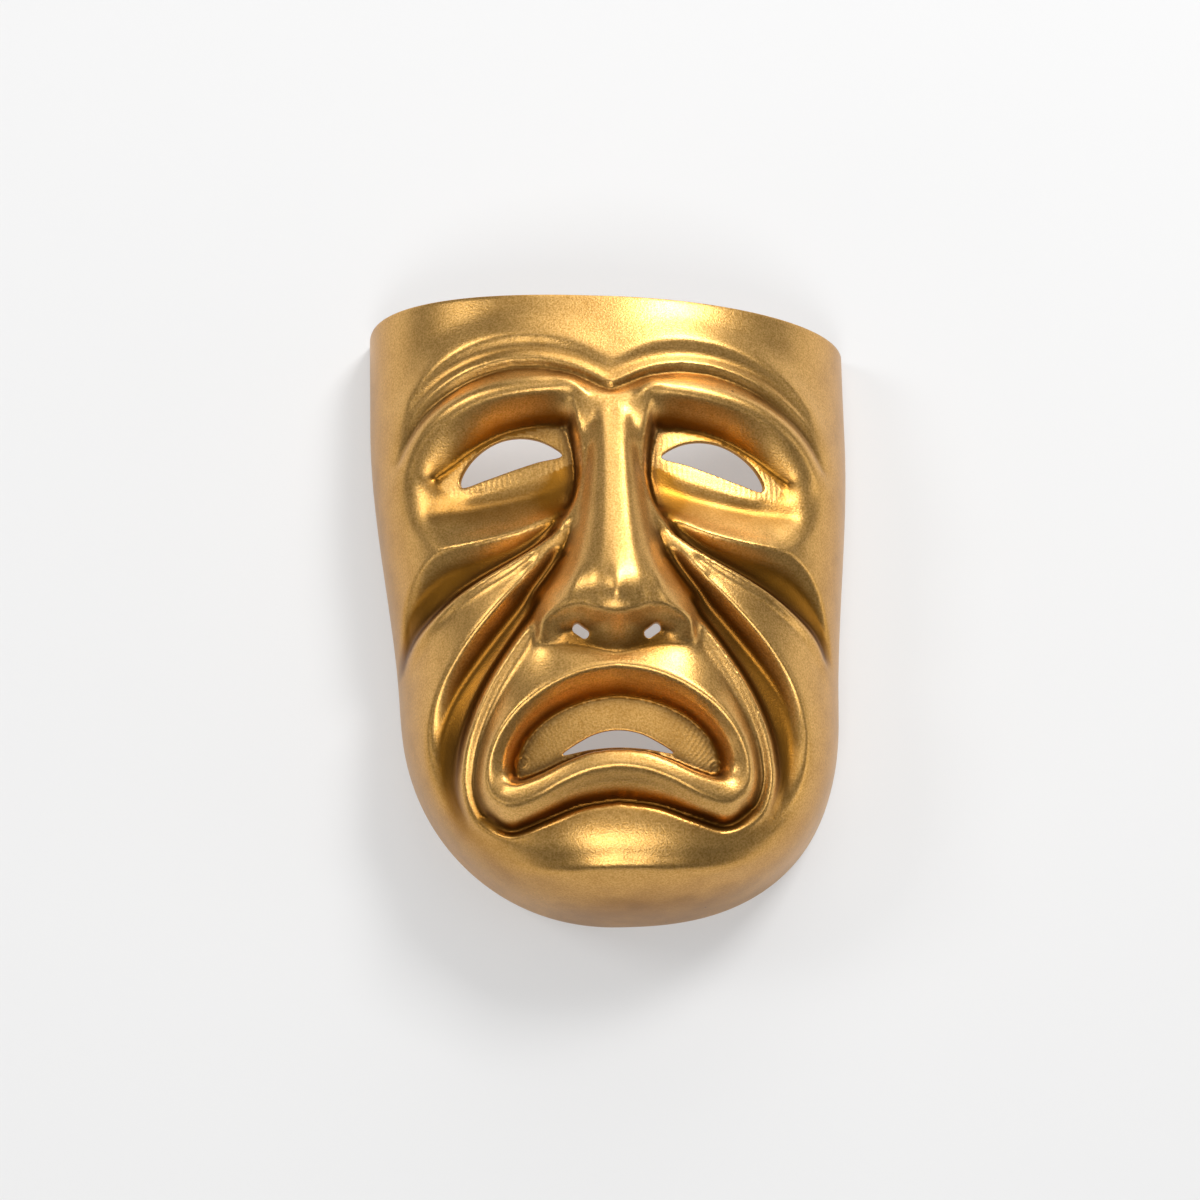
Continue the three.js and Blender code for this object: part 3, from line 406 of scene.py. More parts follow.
def blur(film, radius):
    """Weighs the squares within three radii by exp(-distance^2 / (2 radius^2)) each way. The
    film goes on mirrored past the middle line."""
    reach = max(1, math.ceil(3 * radius / CELL))
    weights = np.exp(-(np.arange(-reach, reach + 1) * CELL / radius) ** 2 / 2)
    weights /= weights.sum()
    wide = np.concatenate([film[:, reach:0:-1], film, np.repeat(film[:, -1:], reach, 1)], 1)
    film = sum(w * wide[:, k:k + film.shape[1]] for k, w in enumerate(weights))
    tall = np.concatenate([np.repeat(film[:1], reach, 0), film, np.repeat(film[-1:], reach, 0)])
    return sum(w * tall[k:k + film.shape[0]] for k, w in enumerate(weights))


def rounded(film, radius):
    """Blurs each square by its own radius, between films blurred by 0.5, 1, 2 and 4 mm."""
    levels = [blur(film, FIRST_BLUR * 2 ** k) for k in range(BLURS)]
    place = np.clip(np.log2(np.maximum(radius, FIRST_BLUR) / FIRST_BLUR), 0, BLURS - 1.001)
    level = place.astype(int)[None]
    share = place - level[0]
    stack = np.stack(levels)
    lower, upper = (np.take_along_axis(stack, level + k, 0)[0] for k in (0, 1))
    return lower * (1 - share) + upper * share


radius = stretch([np.full(len(points), round_) for _, round_, points in LINES])
carving = rounded(sharp, radius / 2)
print("carving from %.1f to %.1f mm" % (carving.min(), carving.max()))

# %% [markdown]
# ## Inside of the shell
# The moulding is about 2 mm thick all over, so its inside repeats the outside at that
# distance. Under each place, the lowest point that a ball of the wall's radius leaves is
# taken: that keeps the wall whole under sharp folds, and makes the inside plainer. Solidify
# would be one click, but in tight creases its inner wall folds through itself.

# %% Inside of the shell
def ball_below(film):
    """Lowest of film + wall - sqrt(wall^2 - distance^2) over the squares within the wall."""
    reach = int(WALL / CELL)
    wide = np.pad(film, reach, mode="edge")
    wide[:, :reach] = wide[:, 2 * reach:reach:-1]
    lowest = film.copy()
    for dj in range(-reach, reach + 1):
        for di in range(-reach, reach + 1):
            away = math.hypot(di, dj) * CELL
            if away <= WALL:
                lift = WALL - math.sqrt(WALL ** 2 - away ** 2)
                rows = slice(reach + dj, reach + dj + film.shape[0])
                columns = slice(reach + di, reach + di + film.shape[1])
                lowest = np.minimum(lowest, wide[rows, columns] + lift)
    return lowest


hollow = ball_below(carving)
print("inside carving from %.1f to %.1f mm" % (hollow.min(), hollow.max()))

# %% [markdown]
# ## The sheet, unrolled
# Points laid evenly in plan would lie far apart on the steep flanks. So the shell is unrolled
# to a flat sheet, an upright band with a half round chin, where points can be laid at even
# distances. roll_up brings them back.

# %% The sheet, unrolled
ARC_POINTS = 4001             # points that the arc from crown to rim is measured at
CARVED_SHARE = 0.92           # the carving fades out from here to the rim
SLANT_FROM = at_height(24.6)  # the slant of the brow edge grows from here up
arc_angle = np.linspace(0, np.pi / 2, ARC_POINTS)
arc_share = np.sin(arc_angle) ** (2 / SECTION_POWER)
arc_steps = np.hypot(np.diff(HALF * arc_share),
                     np.diff(CROWN * np.cos(arc_angle) ** (2 / SECTION_POWER)))
arc_length = np.concatenate([[0], np.cumsum(arc_steps)])
FULL_ARC = arc_length[-1]
print("arc from crown to rim: %.1f mm" % FULL_ARC)


def unroll(x, y):
    """Place on the flat sheet: the arc of the cross-section out, and fanned round the chin."""
    arc = np.interp(rim_share(x, y), arc_share, arc_length)
    across = np.abs(x) / half_width(x, y)
    down = np.maximum(0, (CORNER_Y - y) / (CORNER_Y - CHIN_Y))
    reach = np.maximum(np.hypot(across, down), 1e-9)
    flat_y = np.where(down > 0, CORNER_Y - arc * down / reach, y)
    return np.stack([np.sign(x) * arc * across / reach, flat_y], axis=-1)


def roll_up(flat):
    """Place in plan of a point of the flat sheet, the way back from unroll."""
    drop = np.maximum(0, CORNER_Y - flat[:, 1])
    arc = np.maximum(np.hypot(flat[:, 0], drop), 1e-9)
    down = drop / arc
    across = np.sqrt(1 - np.minimum(down, 1) ** 2)
    corner = jaw_roundness(flat[:, 0])
    squareness = (across ** corner + down ** corner) ** (1 / corner)
    reach = np.interp(arc, arc_length, arc_share) / squareness
    y = np.where(drop > 0, CORNER_Y - reach * down * (CORNER_Y - CHIN_Y), flat[:, 1])
    return np.sign(flat[:, 0]) * reach * across * half_width(flat[:, 0], y), y


def sheet_point(flat, depth):
    """Place in the frame of a point of the sheet, at a depth under the outside: the plain
    shell, the carving on it in height, and the wall along the plain shell's normal."""
    x, y = roll_up(flat)
    share = rim_share(x, y)
    plain = np.stack([x, y, shell_height(x, y)], axis=1)
    normal = shell_normal(x, y)
    fade = 1 - smooth(CARVED_SHARE, 1, share)
    outside, inside = (read(film, CELL, x, y) * fade for film in (carving, hollow))
    t = np.broadcast_to(depth / WALL, outside.shape)
    point = plain - normal * (t * WALL)[:, None]
    point[:, 2] += outside + (inside - outside) * t
    slant = BROW_SLANT * smooth(SLANT_FROM, BROW_Y, point[:, 1])
    point[:, 1] += SHIFT_Y - slant * point[:, 0]
    return point


# %% [markdown]
# ## Cut edges
# The rim and brow edge are trimmed from the moulding, and the eyes, nostrils and mouth are cut
# out of it with a knife or a router. Every cut edge is a loop on the flat sheet, with the
# direction into the material at each of its points. Cutting with a Boolean leaves long thin
# triangles at the edge, so here the mesh is built round its holes from the start.

# %% Cut edges
EYE = [(20.2, 73.5), (27.1, 75.7), (35.8, 76.7), (44.8, 76.4), (53, 74.8), (59.3, 72.3),
       (62.3, 69.6), (61.2, 68.7), (51.2, 69.7), (41, 71), (30.6, 72.3)]
MOUTH = [(22.2, 23.1), (15.5, 25), (8.1, 26.4), (0, 26.9), (-8.1, 26.4), (-15.5, 25),
         (-22.2, 23.1), (-11, 23.8), (0, 24.1), (11, 23.8)]
NOSTRIL = (14.3, 41.8)
NOSTRIL_LENGTH, NOSTRIL_WIDTH, NOSTRIL_LEAN = 6.4, 3.0, math.radians(35)
NOSTRIL_POINTS, CHIN_POINTS = 32, 400
EDGE_STEP, RIM_STEP = 0.8, 1.4         # from point to point round the holes, and the rim


def evenly(loop, step, closed=True):
    """The same line with its points at even distances."""
    if closed:
        loop = np.concatenate([loop, loop[:1]])
    run = np.concatenate([[0], np.cumsum(np.hypot(*np.diff(loop, axis=0).T))])
    even = np.linspace(0, run[-1], int(run[-1] / step) + 1)
    even = even[:-1] if closed else even
    return np.stack([np.interp(even, run, loop[:, k]) for k in range(2)], axis=1)


def into_material(loop):
    """Unit vector at each point, square to the loop and away from the hole it runs round."""
    along = np.roll(loop, -1, axis=0) - np.roll(loop, 1, axis=0)
    turn = np.stack([along[:, 1], -along[:, 0]], axis=1)
    turn /= np.maximum(np.linalg.norm(turn, axis=1, keepdims=True), 1e-9)
    x, y = loop.T
    signed_area = (x * np.roll(y, -1) - y * np.roll(x, -1)).sum()
    return turn if signed_area > 0 else -turn


def nostril_loop(side):
    """A slot with round ends, leaning with the wing of the nose."""
    centre = drawn([NOSTRIL])[0]
    angle = (np.arange(NOSTRIL_POINTS) + 0.5) / NOSTRIL_POINTS * 2 * np.pi
    straight = np.sign(np.cos(angle)) * (NOSTRIL_LENGTH - NOSTRIL_WIDTH)
    along = (np.cos(angle) * NOSTRIL_WIDTH + straight) / 2
    away = np.sin(angle) * NOSTRIL_WIDTH / 2
    c, s = math.cos(NOSTRIL_LEAN), math.sin(NOSTRIL_LEAN)
    x, y = centre[0] + along * c - away * s, centre[1] + along * s + away * c
    return np.stack([side * x, y], axis=1)


def rim_loop():
    """Round the sheet: down the left rim, round the chin, up the right rim, along the brow."""
    turn = np.linspace(np.pi, 2 * np.pi, CHIN_POINTS)
    chin = np.stack([FULL_ARC * np.cos(turn), CORNER_Y + FULL_ARC * np.sin(turn)], axis=1)
    outline = np.concatenate([[[-FULL_ARC, BROW_Y]], chin, [[FULL_ARC, BROW_Y]]])
    sides = evenly(outline, RIM_STEP, closed=False)
    brow = evenly(outline[[-1, 0]], RIM_STEP, closed=False)[1:-1]
    return np.concatenate([sides, brow])


holes = [unroll(*curve(drawn(MOUTH), closed=True).T)]
for side in (-1, 1):
    eye = curve(drawn(EYE), closed=True) * [side, 1]
    holes += [unroll(*eye.T), unroll(*nostril_loop(side).T)]
holes = [evenly(hole, EDGE_STEP) for hole in holes]
loops = [(rim_loop(), -1)] + [(hole, 1) for hole in holes]
loops = [(loop, way * into_material(loop)) for loop, way in loops]
print("%d holes, %d points along the cut edges" % (len(holes), sum(len(a) for a, _ in loops)))

# %% [markdown]
# ## Points of the mesh
# The outside has points along every crisp line of the face and round every hole, and between
# them even rows: close where the face is carved, and wide on the plain forehead and flanks.
# The inside is plainer and has fewer. A Subdivision Surface on a plain grid would spend its
# points evenly and still cut across the lips. The points are joined by the triangles whose
# circles hold no other point, which Blender's own Delaunay call finds.

# %% Points of the mesh
FINE_STEP, PLAIN_STEP, INSIDE_STEP = 0.85, 1.8, 2.4
CRISP = 1.3                   # lines that are crisper than this radius get their own points
EDGE_CLEAR, LINE_CLEAR = 0.6, 0.5      # rows keep this far from edges and lines
INSIDE_CLEAR = 0.6 * INSIDE_STEP       # the same on the inside
FOREHEAD_Y = at_height(95.3)  # nothing is carved above this
MAP_CELL, MAP_MARGIN = 0.25, 2.0
MAP_SIDE = 2 * FULL_ARC + 60  # wide and tall enough for the whole sheet
SAME_POINT = 1e-5             # points nearer than this are one


def map_cell(flat):
    """Square of a map of the sheet that a point is in."""
    i = ((flat[:, 0] + FULL_ARC + MAP_MARGIN) / MAP_CELL).astype(int)
    j = ((flat[:, 1] - CORNER_Y + FULL_ARC + MAP_MARGIN) / MAP_CELL).astype(int)
    return j, i


def mark(taken, flat, reach):
    """Marks the squares within reach of the points as taken."""
    j, i = map_cell(flat)
    n = int(reach / MAP_CELL)
    for dj in range(-n, n + 1):
        for di in range(-n, n + 1):
            if math.hypot(di, dj) * MAP_CELL <= reach:
                taken[j + dj, i + di] = True


def in_loop(flat, loop):
    """True inside a loop: a line to the left of the point crosses it an odd number of times."""
    inside = np.zeros(len(flat), bool)
    near = np.all((flat > loop.min(0)) & (flat < loop.max(0)), axis=1)
    x, y = flat[near].T
    odd = np.zeros(len(x), bool)
    for (x1, y1), (x2, y2) in zip(loop, np.roll(loop, -1, axis=0)):
        crosses = (y1 > y) != (y2 > y)
        if y1 != y2:
            odd ^= crosses & (x < (x2 - x1) * (y - y1) / (y2 - y1) + x1)
    inside[near] = odd
    return inside


def rows(step):
    """Points in rows over the whole sheet, each row half a step on from the last."""
    rise = step * math.sqrt(3) / 2
    tall, wide = (np.arange(int(2 * FULL_ARC / gap) + 2) for gap in (rise, step))
    j, i = np.meshgrid(tall, wide)
    x = -FULL_ARC + (i + 0.5 * (j % 2)) * step
    flat = np.stack([x.ravel(), BROW_Y - j.ravel() * rise], axis=1)
    from_chin = np.hypot(flat[:, 0], np.minimum(0, flat[:, 1] - CORNER_Y))
    return flat[(from_chin < FULL_ARC - step / 2) & (flat[:, 1] < BROW_Y - step / 2)]


def crisp_lines():
    """Points along the crisp lines, for both halves of the face, on the flat sheet."""
    found = []
    for _, round_, points in LINES:
        if round_ < CRISP:
            plan = evenly(curve(drawn(points))[:, :2], FINE_STEP, closed=False)
            for side in (-1, 1):
                line = plan * [side, 1]
                found.append(unroll(*line[rim_share(*line.T) < CARVED_SHARE].T))
    return np.concatenate(found)


def carved(flat):
    """True where the face is carved: inside the plain flanks and under the forehead."""
    x, y = roll_up(flat)
    return (rim_share(x, y) < CARVED_SHARE) & (y < FOREHEAD_Y)


def sheet(outside):
    """Points and triangles of one side of the shell. The edge loops come first, in order."""
    edges = np.concatenate([loop + EDGE * away for loop, away in loops])
    taken = np.zeros([int(MAP_SIDE / MAP_CELL)] * 2, bool)
    points = [edges]
    mark(taken, edges, EDGE_CLEAR if outside else INSIDE_CLEAR)
    groups = [(rows(INSIDE_STEP), 0, None)]
    if outside:
        groups = [(crisp_lines(), LINE_CLEAR, None), (rows(FINE_STEP), 0, True),
                  (rows(PLAIN_STEP), 0, False)]
    for flat, reach, want_carved in groups:
        free = ~taken[map_cell(flat)]
        for hole in holes:
            free &= ~in_loop(flat, hole)
        if want_carved is not None:
            free &= carved(flat) == want_carved
        points.append(flat[free])
        if reach:
            mark(taken, flat[free], reach)
    points = np.concatenate(points)
    _, _, faces, sources, *_ = delaunay_2d_cdt(points.tolist(), [], [], 0, SAME_POINT, True)
    faces = np.array([source[0] for source in sources])[np.array(faces)]
    middles = points[faces].mean(axis=1)
    (rim, rim_away), *cuts = loops
    keep = in_loop(middles, rim + EDGE * rim_away)
    for loop, away in cuts:
        keep &= ~in_loop(middles, loop + EDGE * away)
    faces = faces[keep]
    (ax, ay), (bx, by), (cx, cy) = (points[faces[:, k]].T for k in range(3))
    clockwise = (bx - ax) * (cy - ay) - (by - ay) * (cx - ax) < 0
    faces[clockwise] = faces[clockwise][:, ::-1]
    return points, faces


outside_flat, outside_faces = sheet(True)
inside_flat, inside_faces = sheet(False)
print("outside: %d points, inside: %d points" % (len(outside_flat), len(inside_flat)))

# %% [markdown]
# ## One closed mesh
# The two sides are joined round every loop by a band: a small round corner, the cut wall, and
# a small round corner again, because paint never sits on a knife edge. The mesh goes to
# Blender as whole arrays, which takes a moment where adding face by face takes a minute.

# %% One closed mesh
CORNER_TURNS = np.radians([0, 45, 90])


def band_places():
    """Way back towards the cut, and depth, of each row of the band: a quarter circle of the
    edge's radius at either side of the wall."""
    outer = [(EDGE * (1 - math.sin(a)), EDGE * (1 - math.cos(a))) for a in CORNER_TURNS]
    return outer + [(back, WALL - depth) for back, depth in outer[::-1]]


positions = [sheet_point(outside_flat, 0.0), sheet_point(inside_flat, WALL)]
flats = [outside_flat, inside_flat]
triangles = [outside_faces, inside_faces[:, ::-1] + len(outside_flat)]
first_inside = len(outside_flat)
count = first_inside + len(inside_flat)
start = 0
for loop, away in loops:
    n = len(loop)
    rows_of_band = [start + np.arange(n)]
    for back, depth in band_places()[1:-1]:
        flat = loop + back * away
        positions.append(sheet_point(flat, depth))
        flats.append(flat)
        rows_of_band.append(count + np.arange(n))
        count += n
    rows_of_band.append(first_inside + start + np.arange(n))
    start += n
    x, y = loop.T
    hole_way = (x * np.roll(y, -1) - y * np.roll(x, -1)).sum() > 0
    is_rim = loop is loops[0][0]
    for upper, lower in zip(rows_of_band[:-1], rows_of_band[1:]):
        a, b, c, d = upper, np.roll(upper, -1), np.roll(lower, -1), lower
        quads = np.concatenate([np.stack([a, b, c], 1), np.stack([a, c, d], 1)])
        triangles.append(quads[:, ::-1] if hole_way == is_rim else quads)
positions, flats = np.concatenate(positions), np.concatenate(flats)
triangles = np.concatenate(triangles)
print("mask mesh: %d points, %d triangles" % (len(positions), len(triangles)))


def mesh_object(name, points, faces):
    """Mesh object from whole arrays, points in metres and triangles."""
    mesh = bpy.data.meshes.new(name)
    mesh.vertices.add(len(points))
    mesh.vertices.foreach_set("co", points.astype(np.float32).ravel())
    mesh.loops.add(faces.size)
    mesh.loops.foreach_set("vertex_index", faces.astype(np.int32).ravel())
    mesh.polygons.add(len(faces))
    mesh.polygons.foreach_set("loop_start", np.arange(0, faces.size, 3, dtype=np.int32))
    mesh.polygons.foreach_set("loop_total", np.full(len(faces), 3, dtype=np.int32))
    mesh.polygons.foreach_set("use_smooth", np.ones(len(faces), bool))
    mesh.update(calc_edges=True)
    mesh.validate()
    shown = bpy.data.objects.new(name, mesh)
    bpy.context.collection.objects.link(shown)
    return shown


mask = mesh_object("mask_shell", positions * MM, triangles)
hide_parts("mask")
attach(mask, "root")

# %% [markdown]
# ## Painted shade of the folds and steep sides
# Shade is painted into the gold: each point carries a painted shade, brown over the hollows and on
# the steep sides, nearly black at the bottom of tight creases, and less on the eye and mouth
# panels.
# An Ambient Occlusion node would find the folds by itself, but it is worked out anew for every
# picture. Numbers that are stored on the points go wherever the mesh goes. The eye panels are
# combed upright and the mouth panel like a fan, as the model was tooled.

# %% Painted shade of the folds and steep sides
HOLLOW_SHADE_REACH, HOLLOW_SHADE_FULL = 9.0, 3.2       # painted shade spreads over wide hollows, mm
CREASE_SHADE_REACH, CREASE_SHADE_FULL = 2.8, 2.6       # painted near-black shade at the bottom of tight creases, mm
STEEP_SHADE = 0.45            # how much painted shade darkens the steepest sides
FLAT_ENOUGH, STEEPEST = 0.8, 0.2       # the upright share of the outward direction there
PANEL_SPARED = 0.75           # share of the painted shade that the panels are spared
INSIDE_THIN = 0.3             # a light coat on the whole inside
EYE_PANEL = [(17.5, 78.4), (30, 78), (43.5, 76.8), (56, 74.2), (66, 71.2), (70, 69.4),
             (66, 67.2), (59.5, 67.4), (49.8, 67.9), (40.6, 68.7), (31.3, 69.6), (22, 71),
             (16.2, 72), (16.6, 75.4)]
MOUTH_PANEL = [(0, 32.2), (10.5, 31.6), (20.6, 30.3), (29.7, 28.2), (36.3, 25.3), (39.4, 22),
               (38.8, 20), (30.7, 20.7), (20.9, 22.3), (11, 23.5), (0, 23.8)]


def depth_shade(reach, full):
    """How far the film lies under its own copy blurred by the reach: 1 at the full depth."""
    return np.clip(read(blur(carving, reach) - carving, CELL, plan_x, plan_y) / full, 0, 1)


def store(name, values):
    """Hands one number a point to the paint."""
    layer = mask.data.attributes.new(name, "FLOAT", "POINT")
    layer.data.foreach_set("value", values.astype(np.float32))


plan_x, plan_y = roll_up(flats)
on_outside = np.arange(len(flats)) < len(outside_flat)
plan = np.column_stack([np.abs(plan_x), plan_y])
panels = {name: on_outside & in_loop(plan, drawn(outline))
          for name, outline in (("eye_panel", EYE_PANEL), ("mouth_panel", MOUTH_PANEL))}
for name, share in panels.items():
    store(name, share)
upright = shell_normal(plan_x, plan_y)[:, 2]
# Painted shade: darker where the film lies under its blurred copy, more on the steep sides, less on
# the panels.
painted_shade_and_inside_coat = depth_shade(HOLLOW_SHADE_REACH, HOLLOW_SHADE_FULL)
painted_shade_and_inside_coat += STEEP_SHADE * smooth(FLAT_ENOUGH, STEEPEST, upright)
painted_shade_and_inside_coat *= 1 - PANEL_SPARED * sum(panels.values())
# Painted shade at the bottom of tight creases.
painted_crease_shade = depth_shade(CREASE_SHADE_REACH, CREASE_SHADE_FULL)
store("painted_shade_and_inside_coat", np.where(on_outside, painted_shade_and_inside_coat, INSIDE_THIN))
store("painted_crease_shade", np.where(on_outside, painted_crease_shade, 0.0))
# Shares of the outside's points with over half of each painted shade.
print("gold over half thinned at %.0f %% of the outside's points, dark at %.0f %%"
      % tuple(100 * np.mean(shade[on_outside] > 0.5) for shade in (painted_shade_and_inside_coat, painted_crease_shade)))

# %% [markdown]
# ## Gold paint
# A satin metal with a fine grain of flakes. Shade is painted into it: brown over the hollows and
# steep sides, nearly black in tight creases and inside the pinholes. The combing is a ripple in the
# bump, and a few pinholes are left from the moulding. A painted picture would need unwrapping and
# blurs close by. Noise and sines in the mask's own coordinates stay crisp at any distance. From
# here on, lengths are in metres, as in shaders.

# %% Colours and marks of the gold paint
PALE = ((0.60, 0.32, 0.078, 1), (0.84, 0.50, 0.165, 1))    # between flakes, and on them
SHADE_AND_INSIDE_COLOUR = (0.36, 0.145, 0.008, 1)         # painted shade of the hollows and steep sides, orange as a painted reflection of the gold round them; also the inside's coat
CREASE_SHADE_COLOUR = (0.06, 0.022, 0.006, 1)         # painted shade at the bottom of the creases
PINHOLE_SHADE = (0.01, 0.007, 0.005, 1)         # painted shade inside a pinhole
PAINTED_SHADES = (("painted_shade_and_inside_coat", SHADE_AND_INSIDE_COLOUR, 0.95), ("painted_crease_shade", CREASE_SHADE_COLOUR, 0.65))       # stored painted shade, its colour, most of it
PINHOLES = [((0.04272, 0.06986, 0.0633), 0.00045), ((-0.0048, -0.0983, 0.0563), 0.0003),
            ((0.0306, -0.1056, 0.0195), 0.0003), ((0.0172, -0.1081, 0.006), 0.0003)]
DIMPLES = [(-0.0329, -0.0615, 0.0573), (0.0335, -0.0645, 0.0583)]
DIMPLE_RING, DIMPLE_WIDTH, DIMPLE_RISE = 0.0022, 0.0009, 1.6   # radius, width, rise of a ring
FLAKE_SCALE, DRIFT_SCALE, BEND_SCALE = 1500.0, 90.0, 60.0  # noise waves a metre
FLAKE_STOPS = 0.34, 0.66      # noise at which the flakes' two colours are reached
DRIFT = 0.4                   # how unevenly the painted shades are laid
METAL, ROUGHNESS = 0.92, (0.29, 0.40)
EYE_COMB, EYE_BEND = 0.0019, 0.003     # period of the upright combing, and its wander
FAN_COMB, FAN_BEND, FAN_BELOW = 0.032, 0.004, 0.1      # the fan's in radians, and its centre
FAN_RISE = 30.0               # the fan is deeper outwards, by this a metre
COMBING = 0.2                 # height of the combing beside the flakes' 1
BUMP, BUMP_HEIGHT = 0.33, 0.0002
MIX_SHARE, MIX_FIRST, MIX_SECOND, MIXED = 0, 6, 7, 2   # a Mix node's sockets for colours

# %% Laying shader nodes
class Paint:
    """A material, with short calls for laying its shader nodes one after another."""

    def __init__(self, name):
        self.material = bpy.data.materials.new(name)
        self.material.use_nodes = True
        self.tree = self.material.node_tree
        self.surface = self.tree.nodes["Principled BSDF"].inputs

    def node(self, kind, inputs, **settings):
        """Adds a node; each input is a number, a colour or another node's output."""
        made = self.tree.nodes.new("ShaderNode" + kind)
        for key, value in settings.items():
            setattr(made, key, value)
        self.put(made.inputs, inputs)
        return made.outputs

    def put(self, sockets, values):
        """Joins each output to the socket it is named for, or sets a plain value there."""
        for key, value in values.items():
            if isinstance(value, bpy.types.NodeSocket):
                self.tree.links.new(value, sockets[key])
            else:
                sockets[key].default_value = value

    def maths(self, operation, first, second=0.0):
        """One calculation with two numbers."""
        return self.node("Math", {0: first, 1: second}, operation=operation)[0]

    def stored(self, name):
        """A number stored on the mesh."""
        return self.node("Attribute", {}, attribute_name=name)["Fac"]

    def mixed(self, share, first, second):
        """A colour between two: first (1 - share) + second share."""
        inputs = {MIX_SHARE: share, MIX_FIRST: first, MIX_SECOND: second}
        return self.node("Mix", inputs, data_type="RGBA")[MIXED]

    def distance(self, place, centre):
        """Distance of each place from a centre."""
        inputs = {0: place, 1: centre}
        return self.node("VectorMath", inputs, operation="DISTANCE")["Value"]


# %% Gold paint
def ripple(gold, along, period, strength):
    """Combing: sine of the way along, in periods, weighed by its panel's share."""
    wave = gold.maths("SINE", gold.maths("MULTIPLY", along, 2 * math.pi / period))
    return gold.maths("MULTIPLY", wave, strength)


def colour_of(gold, place, flakes):
    """Pale flakes, browned and darkened by the stored painted shades, with pinholes painted nearly
    black as shade.
    """
    ramp = gold.node("ValToRGB", {"Fac": flakes})
    stops = ramp["Color"].node.color_ramp.elements
    for stop, position, colour in zip(stops, FLAKE_STOPS, PALE):
        stop.position, stop.color = position, colour
    drift = gold.node("TexNoise", {"Vector": place, "Scale": DRIFT_SCALE, "Detail": 4.0})["Fac"]
    uneven = gold.maths("MULTIPLY", gold.maths("SUBTRACT", drift, 0.5), DRIFT)
    coat = ramp["Color"]
    # Mixes in the stored painted shades: brown over hollows and steep sides, nearly black in
    # creases.
    for name, colour, most in PAINTED_SHADES:
        share = gold.maths("ADD", gold.stored(name), uneven)
        share = gold.node("Clamp", {"Value": share, "Min": 0.0, "Max": most})[0]
        coat = gold.mixed(share, coat, colour)
    # Painted shade: each pinhole nearly black inside.
    whole = 1.0
    for centre, radius in PINHOLES:
        outside_hole = gold.maths("GREATER_THAN", gold.distance(place, centre), radius)
        whole = gold.maths("MULTIPLY", whole, outside_hole)
    return gold.mixed(gold.maths("SUBTRACT", 1.0, whole), coat, PINHOLE_SHADE)


def height_of(gold, place, flakes):
    """Flakes, combing of the panels and the rings in the corners of the mouth, summed."""
    x, y, _ = gold.node("SeparateXYZ", {"Vector": place})
    bend = gold.node("TexNoise", {"Vector": place, "Scale": BEND_SCALE})["Fac"]
    wandering = gold.maths("ADD", x, gold.maths("MULTIPLY", bend, EYE_BEND))
    eye = ripple(gold, wandering, EYE_COMB, gold.stored("eye_panel"))
    fan = gold.maths("ARCTAN2", gold.maths("ADD", x, gold.maths("MULTIPLY", bend, FAN_BEND)),
                     gold.maths("ADD", y, FAN_BELOW))
    outwards = gold.maths("MULTIPLY", gold.maths("ABSOLUTE", x), FAN_RISE)
    depth = gold.maths("MULTIPLY", gold.stored("mouth_panel"), outwards)
    mouth = ripple(gold, fan, FAN_COMB, depth)
    combing = gold.maths("MULTIPLY", gold.maths("ADD", eye, mouth), COMBING)
    height = gold.maths("ADD", flakes, combing)
    for centre in DIMPLES:
        off = gold.maths("SUBTRACT", gold.distance(place, centre), DIMPLE_RING)
        ring = gold.node("MapRange", {"Value": gold.maths("ABSOLUTE", off),
                                      "From Max": DIMPLE_WIDTH, "To Min": DIMPLE_RISE,
                                      "To Max": 0.0}, interpolation_type="SMOOTHSTEP")["Result"]
        height = gold.maths("ADD", height, ring)
    return height


def paint():
    """Gold paint over the mask, from its own attributes and noise in Object coordinates."""
    gold = Paint("gold_paint")
    place = gold.node("TexCoord", {})["Object"]
    flakes = gold.node("TexNoise", {"Vector": place, "Scale": FLAKE_SCALE, "Detail": 3.0})["Fac"]
    least, most = ROUGHNESS
    rough = gold.node("MapRange", {"Value": flakes, "To Min": least, "To Max": most})["Result"]
    bump = gold.node("Bump", {"Height": height_of(gold, place, flakes), "Strength": BUMP,
                              "Distance": BUMP_HEIGHT})["Normal"]
    gold.put(gold.surface, {"Base Color": colour_of(gold, place, flakes), "Metallic": METAL,
                            "Roughness": rough, "Normal": bump})
    print("gold paint: %d nodes" % len(gold.tree.nodes))
    return gold.material


mask.data.materials.append(paint())

# %% [markdown]
# ## Table
# The mask lies face up on a pale table, as things are photographed for a catalogue. A plane
# is all it takes. It glows a little, so that it stays pale between the lights, where a
# brighter lamp would wash out the gold.

# %% Table
TABLE_REACH = 3.0             # metres from the mask to each side
TABLE_GREY, TABLE_GLOW, TABLE_ROUGHNESS = 0.5, 0.34, 0.9


def table():
    """A wide pale sheet that glows a little, level with the rim."""
    mesh = bpy.data.meshes.new("table")
    corners = TABLE_REACH * np.array([(-1, -1, 0), (1, -1, 0), (1, 1, 0), (-1, 1, 0)])
    mesh.from_pydata(corners.tolist(), [], [(0, 1, 2, 3)])
    shown = bpy.data.objects.new("table", mesh)
    bpy.context.collection.objects.link(shown)
    pale = Paint("table")
    pale.put(pale.surface, {"Base Color": (TABLE_GREY, TABLE_GREY, TABLE_GREY, 1),
                            "Roughness": TABLE_ROUGHNESS, "Emission Color": (1, 1, 1, 1),
                            "Emission Strength": TABLE_GLOW})
    mesh.materials.append(pale.material)


table()
print("table: %.0f m wide" % (2 * TABLE_REACH))

# %% [markdown]
# ## Light
# Metal paint shows what stands round it more than its own colour, so the lamps are placed by
# the highlights: each soft box is bright where a fold, a lip or the chin shines on the real
# mask. One dome of even light would be simpler, but it leaves gold looking like plastic.

